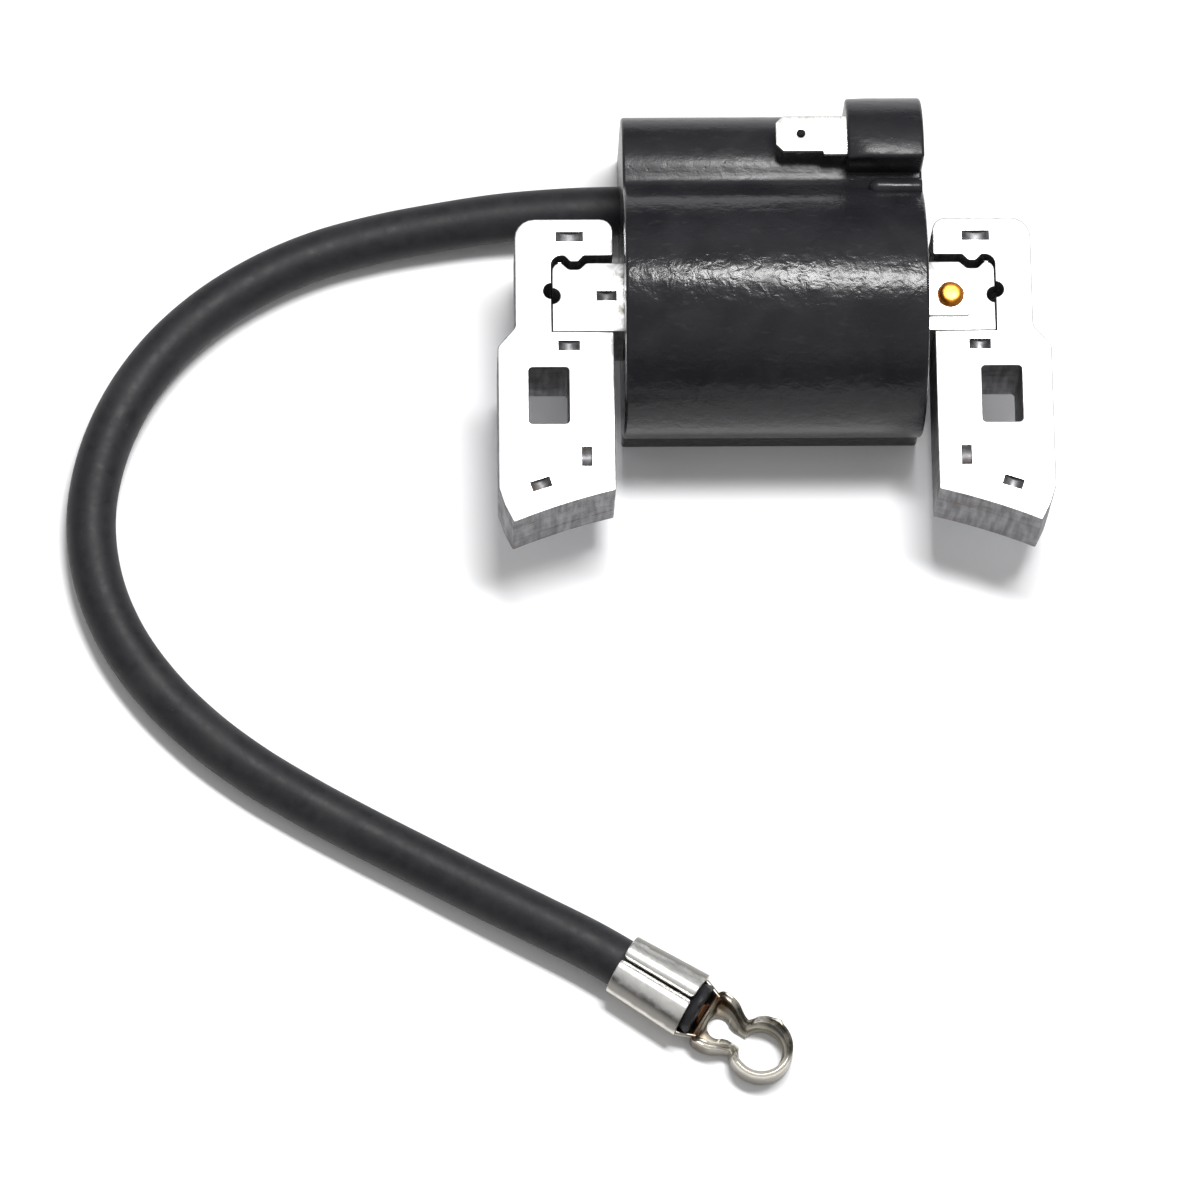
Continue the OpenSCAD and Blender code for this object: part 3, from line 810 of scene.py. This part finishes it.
def add_dimple(work, x, y, turn, length):
    """Round-bottomed interlock dimple in the front face; returns the edges of its mouth."""
    width, depth, steps = DIMPLE
    spin = Matrix.Rotation(radians(turn), 3, "Z")
    rows = []
    for i in range(steps + 1):
        t = 2 * i / steps - 1
        u, z = t * length / 2, STACK_HALF - depth * (1 - t * t)
        rows.append([
            work.verts.new(spin @ Vector((u, v, 0)) + Vector((x, y, z))) for v in (-width / 2, width / 2)
        ])
    for a, b in zip(rows, rows[1:]):
        work.faces.new((a[0], a[1], b[1], b[0]))
    work.faces.new([row[0] for row in rows])
    work.faces.new([row[1] for row in reversed(rows)])
    first, last = rows[0], rows[-1]
    pairs = ((first[0], first[1]), (last[0], last[1]), (first[0], last[0]), (first[1], last[1]))
    return [work.edges.get(pair) for pair in pairs]


face_steel = steel_face()
edge_steel = steel_edge()
leg = leg_outline()
for side_name, flip, seed in (("right", 1, 3), ("left", -1, 5)):
    stack = make_stack(f"{side_name}_leg_stack", leg, [slot_outline()], LEG_DIMPLES, flip, seed)
    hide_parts(f"{side_name}_leg_laminations")
core = make_stack("core_bar_stack", core_outline(), [rivet_hole(0.12)], CORE_DIMPLES, 1, 7)
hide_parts("core_laminations")

# ---- housing

BARREL_R = 17.8
BODY_EDGE = 0.42
BOX = (19.2, 0.2, 9.3)  # y, z, radius
TROUGH_Y = -15.0
WALL = 1.6
POST = (18.8, 4.9, 10.6)  # y, z, radius
POST_LOW_Y = 17.1
POST_X = 10.3
POST_SLOPE_X = 13.3
POST_SLANT_Y, POST_SLANT_Z = tan(radians(24)), tan(radians(10))
BEAD = (14.6, 10.6, 1.3, 13.4)  # y, z, radius, x of its free end
TUBE_HALF = (CORE_HALF + 1.1, STACK_HALF + 1.1)
LEAD_BORE = (18.6, -9.4, LEAD_R + 0.05)  # y, z, radius


def even(path, step):
    """Closed path's points spaced evenly, with corners kept where they turn sharply."""
    out = []
    for a, b in zip(path, path[1:] + path[:1]):
        a, b = Vector(a), Vector(b)
        count = max(1, round((b - a).length / step))
        out += [tuple(a.lerp(b, i / count)) for i in range(count)]
    return out


def softened(path, at, reach, passes):
    """Path with its corner near a point worn round."""
    at = Vector(at)
    path = [Vector(p) for p in path]
    near = [i for i, p in enumerate(path) if (p - at).length < reach]
    for _ in range(passes):
        moved = {i: (path[i - 1] + path[(i + 1) % len(path)] + path[i] * 2) / 4 for i in near}
        for i, p in moved.items():
            path[i] = p
    return [tuple(p) for p in path]


def body_section():
    """Closed section of barrel, box and back, as (y, z) in the coil frame."""
    box_y, box_z, box_r = BOX
    reach = hypot(box_y, box_z)
    along = (BARREL_R**2 - box_r**2 + reach**2) / (2 * reach)
    off = sqrt(BARREL_R**2 - along**2)
    tilt = atan2(box_z, box_y)
    valley = Vector((along, off))
    valley.rotate(Matrix.Rotation(tilt, 2))
    barrel_end = degrees(atan2(valley.y, valley.x))
    box_start = degrees(atan2(valley.y - box_z, valley.x - box_y))
    foot = degrees(atan2(-sqrt(BARREL_R**2 - TROUGH_Y**2), TROUGH_Y)) + 360
    path = [(box_y + box_r, TABLE)]
    path += arc(box_y, box_z, box_r, 0, box_start, 26)
    path += arc(0, 0, BARREL_R, barrel_end, foot, 60)[1:]
    path += [(TROUGH_Y, TABLE)]
    return softened(even(path, 0.5), valley, 1.6, 10)


def section_rings(section, x0, x1, edge):
    """Rings that stand a (y, z) section along X, with its two ends rounded over."""
    ends = [(x0 + edge * (1 - sin(t)), edge * (1 - cos(t))) for t in reversed(QUARTER_TURN)]
    ends += [(x1 - edge * (1 - sin(t)), edge * (1 - cos(t))) for t in QUARTER_TURN]
    return [[(x, y, max(z, TABLE)) for y, z in grown(section, -inset)] for x, inset in ends]


def prism(name, section, x0, x1, material=None):
    """Solid of a (y, z) section between two places along X."""
    rings = [[(x, y, z) for y, z in section] for x in (x0, x1)]
    return piece(name, *loft(rings), material, COIL)


def post_solid(material):
    """Terminal post: flat below, round in front, its left end slanted, all edges softened."""
    y0, z0, r = POST
    top_y = y0 + r
    low = [(POST_LOW_Y, TABLE + 0.02), (top_y, TABLE + 0.02)]
    cut_y = top_y - (POST_SLOPE_X - POST_X) * POST_SLANT_Y
    cut_z = z0 + r - (POST_SLOPE_X - POST_X) * POST_SLANT_Z
    work = bmesh.new()
    for y, z in low + arc(y0, z0, r, 0, 98, 20):
        for x in (BODY_END, POST_SLOPE_X):
            work.verts.new((x, y, z))
        work.verts.new((POST_X, min(y, cut_y), min(z, cut_z)))
    bmesh.ops.convex_hull(work, input=work.verts)
    loose = [v for v in work.verts if not v.link_faces]
    bmesh.ops.delete(work, geom=loose, context="VERTS")
    bmesh.ops.remove_doubles(work, verts=work.verts, dist=0.01)
    bmesh.ops.dissolve_limit(work, angle_limit=radians(1.5), verts=work.verts, edges=work.edges)
    sharp = [e for e in work.edges if len(e.link_faces) == 2 and e.calc_face_angle() > radians(18)]
    bmesh.ops.bevel(
        work, geom=sharp, offset=0.45, segments=4, profile=0.5, affect="EDGES", clamp_overlap=True
    )
    return piece_of(work, "post", material)


def bead_solid(material):
    """Bead in the valley under the post, round on its free end."""
    y, z, r, x = BEAD
    stations = [(x + r * (1 - cos(t)), r * sin(t)) for t in QUARTER_TURN[1:]]
    stations += [(BODY_END - 0.6, r), (BODY_END - 0.15, r * 0.9)]
    rings = [[(at, y + a, z + b) for a, b in arc(0, 0, size, 0, 345, 23)] for at, size in stations]
    return piece("bead", *loft(rings), material, COIL)


# Room in the post for the spade's root and for its foot: x range, then y and z range
SPADE_SLOTS = [((10, 13.03), (18.47, 24.23, 12.67, 13.53)), ((12.17, 13.03), (19.67, 22.73, 6.5, 13.1))]


def make_housing():
    """Shell with barrel, box and post; its hollow goes on below the table, so the back is open."""
    plastic = housing_plastic()
    section = body_section()
    skin = loft(section_rings(section, -BODY_END, BODY_END, BODY_EDGE))
    body = piece("coil_housing_shell", *skin, plastic, COIL)
    combine(body, [post_solid(plastic), bead_solid(plastic)])
    below = 3
    inner = [(y, z - (below if z < TABLE + WALL + 0.5 else 0)) for y, z in grown(section, -WALL)]
    hollow = prism("hollow", inner, WALL - BODY_END, BODY_END - WALL)
    half_y, half_z = TUBE_HALF
    window = rectangle(-half_y, half_y, -half_z, half_z)
    tube = prism("tube", window, -BODY_END - 1, BODY_END + 1)
    y, z, r = LEAD_BORE
    bore = prism("bore", arc(y, z, r, 0, 355, 71), -BODY_END - 1, WALL - BODY_END + 0.2)
    slots = [prism("slot", rectangle(*sides), *ends) for ends, sides in SPADE_SLOTS]
    combine(body, [hollow, tube, bore, *slots], "DIFFERENCE")
    shade(body.data, 32)
    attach(body, "root")
    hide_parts("coil_housing")


make_housing()

# ---- sheet-metal pieces of the coil

STRAP_T = 0.6


def plate(name, outline, holes, low, high, edge, material):
    """Flat sheet between two heights with rounded edges; holes get the same edge."""
    levels = [(low, edge), (low + edge, 0), (high - edge, 0), (high - edge * 0.3, edge * 0.3), (high, edge)]
    work = bmesh.new()
    close_sheet(work, skin_sheet(work, outline, holes, [(z, inset, (0, 0)) for z, inset in levels]))
    return piece_of(work, name, material)


def make_spade():
    """Stop terminal: chamfered spade with a detent hole, wider root and the foot inside the post."""
    metal = tinned_steel("spade_tin", (0.9, 0.89, 0.85), (0.24, 0.4)).material
    top = spade_high.z - COIL.z
    thick = 0.8
    tip = spade_low.x
    root, foot = 7.0, 12.2
    half, cut = 2.6, 1.0
    middle = spade_high.y - half - COIL.y
    wide = spade_high.y - spade_low.y - half
    outline = rounded_path([
        (tip, middle - half + cut, 0.3), (tip + cut, middle - half, 0.3), (root, middle - half, 0.2),
        (root, middle - wide, 0.2), (foot + thick, middle - wide, 0.2), (foot + thick, middle + half, 0.2),
        (tip + cut, middle + half, 0.3), (tip, middle + half - cut, 0.3),
    ])
    hole = arc(3.9, middle, 0.6, 0, 345, 23)
    spade = plate("stop_spade", outline, [hole], top - thick, top, 0.09, metal)
    shank = even(rectangle(foot, foot + thick, middle - 1.9, middle + 1.1), 1)
    post_leg = plate("stop_spade_leg", shank, [], spade_low.z - COIL.z, top - thick / 2, 0.08, metal)
    combine(spade, [post_leg])
    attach(spade, "root")
    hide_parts("stop_terminal")


def make_strap():
    """Part of the ground strap that lies on the core bar; its inner bend stays inside the resin."""
    metal = tinned_steel("strap_tin", (0.93, 0.93, 0.92), (0.3, 0.45)).material
    low, half = STACK_HALF, 3.05
    corner = 0.7
    outline = rounded_path([
        (strap_low.x, -half, 0), (strap_high.x, -half, corner),
        (strap_high.x, half, corner), (strap_low.x, half, 0),
    ])
    strap = plate("ground_strap_tab", outline, [rivet_hole(0.03)], low, low + STRAP_T, 0.1, metal)
    bend = [(-half, low + 0.1), (half, low + 0.1), (half, 7.6), (7, 7.6), (16, 3), (21, 3), (21, 5.5),
            (16.5, 5.5), (8, 10), (-half, 10)]
    upright = prism("strap_bend", bend, strap_low.x, strap_low.x + STRAP_T, metal)
    combine(strap, [upright])
    shade(strap.data, 30)
    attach(strap, "root")
    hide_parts("ground_strap")


def make_rivet():
    """Headed copper rivet: domed head with a flattened crown, shank and back head."""
    head_r, top, sides = 1.86, STACK_HALF + STRAP_T, 48
    profile = [
        (0.0, top + 0.99), (0.5, top + 0.985), (0.9, top + 0.965), (1.2, top + 0.92), (1.42, top + 0.8),
        (1.6, top + 0.6), (1.73, top + 0.4), (head_r, top + 0.2), (head_r, top + 0.05),
        (head_r - 0.15, top), (RIVET_SHANK_R, top), (RIVET_SHANK_R, -STACK_HALF),
        (head_r - 0.1, -STACK_HALF), (head_r, -STACK_HALF - 0.12), (1.5, -STACK_HALF - 0.55),
        (0.9, -STACK_HALF - 0.83), (0.0, -STACK_HALF - 0.9),
    ]
    rings = []
    for r, z in profile[1:-1]:
        wobble = 0.02 if r > 1.05 and z > 0 else 0
        ring = []
        for k in range(sides):
            a = 2 * pi * k / sides
            reach = r + wobble * sin(3 * a + 1) + wobble * 0.6 * sin(7 * a)
            ring.append((RIVET_X + reach * cos(a), reach * sin(a), z))
        rings.append(ring)
    points, faces = loft(rings, caps=False)
    last = len(points) - sides
    points += [(RIVET_X, 0, profile[0][1]), (RIVET_X, 0, profile[-1][1])]
    for k in range(sides):
        faces.append((k, (k + 1) % sides, len(points) - 2))
        faces.append((last + k, last + (k + 1) % sides, len(points) - 1))
    rivet = piece("ground_rivet_copper", points, faces, rivet_copper(), COIL, 50)
    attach(rivet, "root")
    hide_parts("ground_rivet")


make_spade()
make_strap()
make_rivet()

# ---- plug clip

CRIMP_L = 11.2
CLIP_T = 0.85
CRIMP_OUT_R = LEAD_R + CLIP_T
CRIMP_FLARE = 0.5
CLIP_LOW = 0.05
PAN_X, SHOULDER_X, CUP_X = 13.3, 15.2, 22.4
SHOULDER_W, WAIST_W, CUP_R = 4.15, 2.6, 4.35
KEY_X, KEY_R, KEY_HALF, CUP_HOLE_R = 15.7, 1.6, 0.85, 3.0
RIM = [(13.3, 3.5), (14.3, 4.3), (16.6, 4.1), (18.7, 3.1), (19.3, 3.3), (19.9, 4.4), (20.8, 4.8), (27, 4.8)]


def spaced(line, count):
    """Open line's points spaced evenly, count steps long."""
    line = [Vector(p) for p in line]
    reach = [0.0]
    for a, b in zip(line, line[1:]):
        reach.append(reach[-1] + (b - a).length)
    out, k = [], 0
    for i in range(count + 1):
        want = reach[-1] * i / count
        while k < len(line) - 2 and reach[k + 1] < want:
            k += 1
        step = reach[k + 1] - reach[k]
        out.append(line[k].lerp(line[k + 1], (want - reach[k]) / step if step else 0))
    return out


def crimp_half(u, end):
    """Outer face of one wing from the barrel's low middle into the groove, as (v, z)."""
    flare = 1 + CRIMP_FLARE * u / CRIMP_L / CRIMP_OUT_R
    crest, curl_r = radians(68), 1.1
    turns = [radians(-90) + (crest + pi / 2) * i / 22 for i in range(23)]
    line = [(CRIMP_OUT_R * cos(a), CLIP_AXIS_Z + CRIMP_OUT_R * sin(a)) for a in turns]
    curl_v = (CRIMP_OUT_R - curl_r) * cos(crest)
    curl_z = CLIP_AXIS_Z + (CRIMP_OUT_R - curl_r) * sin(crest)
    line += arc(curl_v, curl_z, curl_r, 68, end, 16)[1:]
    return [(v * flare, z) for v, z in line]


def sheet_loop(half, thick, edge):
    """Closed section of a sheet that is bent up on both sides; half is its outer face."""
    line = [Vector((-v, z)) for v, z in reversed(half[1:])] + [Vector(p) for p in half]
    ways = headings(line)
    sides = [Vector((-w.y, w.x)) for w in ways]
    outer = [p + s * edge for p, s in zip(line, sides)]
    inner = [p + s * (thick - edge) for p, s in zip(line, sides)]
    reach = thick / 2 - edge

    def nose(i, sign):
        middle = line[i] + sides[i] * (thick / 2)
        turns = [pi * k / 6 for k in range(1, 6)]
        return [middle + ways[i] * sign * reach * sin(a) - sides[i] * reach * cos(a) for a in turns]

    return [*outer, *nose(-1, 1), *reversed(inner), *reversed(nose(0, -1))]


def clip_solid(name, sections, material):
    """Skin over sections (u, outline) in the clip's own frame."""
    return piece(name, *loft([[clip_point(u, v, z) for v, z in path] for u, path in sections]), material)


def make_crimp(material):
    """Barrel: two wings that curl down into a groove along its top, their corners rounded."""
    corner, tip, cut_tip = 1.5, 188, 100
    near_end = [0, 0.08, 0.25, 0.5, 0.8, 1.1, corner]
    stations = near_end + [corner + (CRIMP_L - 2 * corner) * i / 10 for i in range(1, 10)]
    stations += [CRIMP_L - u for u in reversed(near_end)]
    sections = []
    for u in stations:
        to_end = min(u, CRIMP_L - u)
        open_up = 1 - min(to_end / corner, 1)
        end = cut_tip + (tip - cut_tip) * sqrt(1 - open_up**2)
        edge = 0.05 if to_end == 0 else 0
        sections.append((u, sheet_loop(crimp_half(u, end), CLIP_T, edge)))
    return clip_solid("plug_clip_sheet", sections, material)


def make_throat(material):
    """Open channel that joins the barrel's floor to the pan."""
    overlap, overlap_pan, steps = 1.2, 0.5, 8
    sections = []
    for i in range(steps + 1):
        u = CRIMP_L - overlap + (PAN_X + overlap_pan - CRIMP_L + overlap) * i / steps
        narrow = max(0, (u - CRIMP_L) / (PAN_X - CRIMP_L))
        wide = CRIMP_OUT_R + CRIMP_FLARE - 0.06 - 0.85 * narrow
        height = CRIMP_OUT_R - 0.03
        turns = [radians(a) for a in range(0, 73, 8)]
        half = [(wide * sin(a), CLIP_AXIS_Z - height * cos(a)) for a in turns]
        sections.append((u, sheet_loop(half, CLIP_T - 0.1, 0)))
    return clip_solid("throat", sections, material)


def pan_halves():
    """Half outline of the pan and half of its keyhole, with matching points, from back to front."""
    meet = degrees(atan2(WAIST_W, -sqrt(CUP_R**2 - WAIST_W**2)))
    corner_r = 0.85
    back = arc(PAN_X + corner_r, SHOULDER_W - corner_r, corner_r, 180, 90, 8)
    flank = [(SHOULDER_X, SHOULDER_W), (16.4, 3.85), (17.6, 3.15), (18.4, 2.75), (18.9, 2.62)]
    cup = arc(CUP_X, 0, CUP_R, meet - 4, 0, 40)
    outer = spaced([(PAN_X, 0), *back, flank[0]], 14)
    outer += spaced(smooth_line([Vector(p) for p in flank], 5) + [Vector(cup[0])], 14)[1:]
    outer += spaced(cup, 34)[1:]
    slot_end = degrees(asin(KEY_HALF / CUP_HOLE_R))
    hole = spaced(arc(KEY_X, 0, KEY_R, 180, 80, 20), 14)
    start = arc(KEY_X, 0, KEY_R, 80, 42, 8)
    corner = CUP_X - sqrt(CUP_HOLE_R**2 - KEY_HALF**2)
    hole += spaced([*start, (17.6, KEY_HALF), (corner, KEY_HALF)], 14)[1:]
    hole += spaced(arc(CUP_X, 0, CUP_HOLE_R, 180 - slot_end, 0, 40), 34)[1:]
    return outer, hole


def pan_profile(outer, hole):
    """Closed section of the pan's wall and floor: (point, height) from outside over the rim."""
    reach = (hole - outer).length
    inward = (hole - outer) / reach
    k = min(1, reach / 1.7)
    rim = lookup(RIM, outer.x)
    bump = 0.4 * exp(-((outer - Vector((22.6, 4.2))).length / 0.45) ** 2)
    side = [
        (0.7, CLIP_LOW), (0.25, 0.09), (-0.1, 0.3), (-0.22, 0.8), (-0.05, rim - 0.9),
        (-0.02 - bump, rim - 0.5),
        (-0.08 - bump, rim - 0.28), (0.0 - bump, rim - 0.08), (0.2, rim), (0.38, rim - 0.05),
        (0.5, rim - 0.17), (0.62, rim - 0.06), (0.8, rim - 0.01), (1.0, rim - 0.09), (1.1, rim - 0.32),
        (0.98, rim - 0.6), (0.82, rim - 0.95), (0.84, max(rim * 0.48, 1.8)), (0.96, 1.6), (1.2, 1.15),
    ]
    out = [(outer + inward * (s * k), z) for s, z in side]
    foot = out[-1][0]
    out.append((foot.lerp(hole, 0.5), 0.96))
    for share, z in ((0.93, 0.9), (1.0, 0.82), (1.0, 0.14), (0.93, CLIP_LOW + 0.01)):
        out.append((foot.lerp(hole, share), z))
    return out


def make_pan(material):
    """Slotted pan and cup, one sheet pressed round a keyhole."""
    outer, hole = pan_halves()
    outline, keyhole = [half + [Vector((p.x, -p.y)) for p in half[-2:0:-1]] for half in (outer, hole)]
    rings = [[(p.x, p.y, z) for p, z in pan_profile(o, h)] for o, h in zip(outline, keyhole)]
    points, faces = loft([[clip_point(*p) for p in ring] for ring in rings], caps=False)
    count = len(rings[0])
    return piece("pan", points, faces + strip(len(points) - count, 0, count), material)


def make_clip():
    """Crimped barrel, channel and slotted cup of tinned sheet."""
    metal = clip_tin()
    clip, pan = make_crimp(metal), make_pan(metal)
    combine(pan, [make_throat(metal)])
    combine(clip, [pan])
    weld(clip.data, 0.006)
    shade(clip.data, 40)
    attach(clip, "root")
    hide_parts("plug_clip")
    return clip


def make_strands():
    """Bare ends of the conductor: twisted in the socket, spread down the gap in the clip."""
    copper = conductor_copper()
    points, faces = [], []

    def add(line, across):
        rings = tube_rings(smooth_line(line, 3), [0.25] * (3 * len(line) - 2), 10, across)
        more, skin = loft(rings)
        faces.extend(tuple(i + len(points) for i in face) for face in skin)
        points.extend(more)

    for k in range(7):
        v = (k - 3) * 0.56
        fan = ((-0.3, 0.4, CLIP_AXIS_Z), (0.22, 0.5, CLIP_AXIS_Z), (0.36, 0.8, 3.7), (0.36, 1, 1.3))
        add([clip_point(LEAD_IN_CRIMP + u, v * share, z) for u, share, z in fan], CLIP_SIDE)
    for k in range(7):
        line = []
        for i in range(7):
            turn = radians(60 * k + 25 * i)
            off = 0 if k == 6 else 0.52
            line.append(Vector((-14 + 4 * i / 6, 20.4 + off * cos(turn), 5.6 + off * sin(turn))))
        add(line, None)
    strands = piece("conductor_strands", points, faces, copper)
    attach(strands, "root")
    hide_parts("lead_conductor")
    return strands


plug_clip = make_clip()
lead_strands = make_strands()

# ---- carried-over pieces

def dress_inner_pieces():
    """Procedural finishes for the CAD pieces whose shape stays."""
    finishes = [
        (potting_resin(), ["potting_compound"]),
        (bobbin_plastic(), ["primary_bobbin", "secondary_bobbin"]),
        (winding_copper("primary_wire", 0.5), ["primary_winding", "primary_leads"]),
        (winding_copper("secondary_wire", 0.2), ["secondary_winding", "secondary_lead"]),
        (insulation_film(), ["insulation_wrap"]),
        (board_laminate(), ["circuit_board"]),
        (component_black(), ["power_transistor", "control_transistor"]),
        (resistor_body(), ["resistors"]),
        (socket_brass(), ["high_voltage_socket"]),
    ]
    for material, names in finishes:
        for name in names:
            nodes[name].data.materials.clear()
            nodes[name].data.materials.append(material)


dress_inner_pieces()


# ---- table and light

TABLE_HALF = 6.0
KEY_AT = (0.14, 0.25, 1.15)
KEY_SIZE = (0.46, 0.15)
KEY_POWER = 15.0
SKY_STRENGTH = 0.56
SKY_RAMP = ((0.3, (0.07, 0.07, 0.073)), (0.62, (1, 1, 1)))


def make_table():
    mesh = bpy.data.meshes.new("table")
    corners = rectangle(-TABLE_HALF, TABLE_HALF, -TABLE_HALF, TABLE_HALF)
    mesh.from_pydata([(x, y, 0) for x, y in corners], [], [(0, 1, 2, 3)])
    mesh.materials.append(Paint("table_white", Base_Color=(0.9, 0.9, 0.91), Roughness=0.8).material)
    table = placed("table", mesh)


def make_key_light():
    """Soft oblong light that faces the coil."""
    data = bpy.data.lights.new("key", "AREA")
    data.shape = "RECTANGLE"
    data.size, data.size_y = KEY_SIZE
    data.energy = KEY_POWER
    light = placed("key", data)
    light.location = KEY_AT
    light.rotation_mode = "QUATERNION"
    light.rotation_quaternion = (-Vector(KEY_AT)).to_track_quat("-Z", "Y")


def make_sky():
    """White surroundings that darken below the horizon."""
    world = bpy.data.worlds.new("studio")
    bpy.context.scene.world = world
    world.use_nodes = True
    new, link = world.node_tree.nodes.new, world.node_tree.links.new
    background = world.node_tree.nodes["Background"].inputs
    parts = new("ShaderNodeSeparateXYZ")
    ramp = new("ShaderNodeValToRGB")
    for element, (place, colour) in zip(ramp.color_ramp.elements, SKY_RAMP):
        element.position = place
        element.color = (*colour, 1)
    link(new("ShaderNodeTexCoord").outputs["Generated"], parts.inputs[0])
    link(parts.outputs["Z"], ramp.inputs["Fac"])
    link(ramp.outputs["Color"], background["Color"])
    background["Strength"].default_value = SKY_STRENGTH


make_table()
make_sky()
make_key_light()
bpy.context.scene.view_settings.view_transform = "Standard"
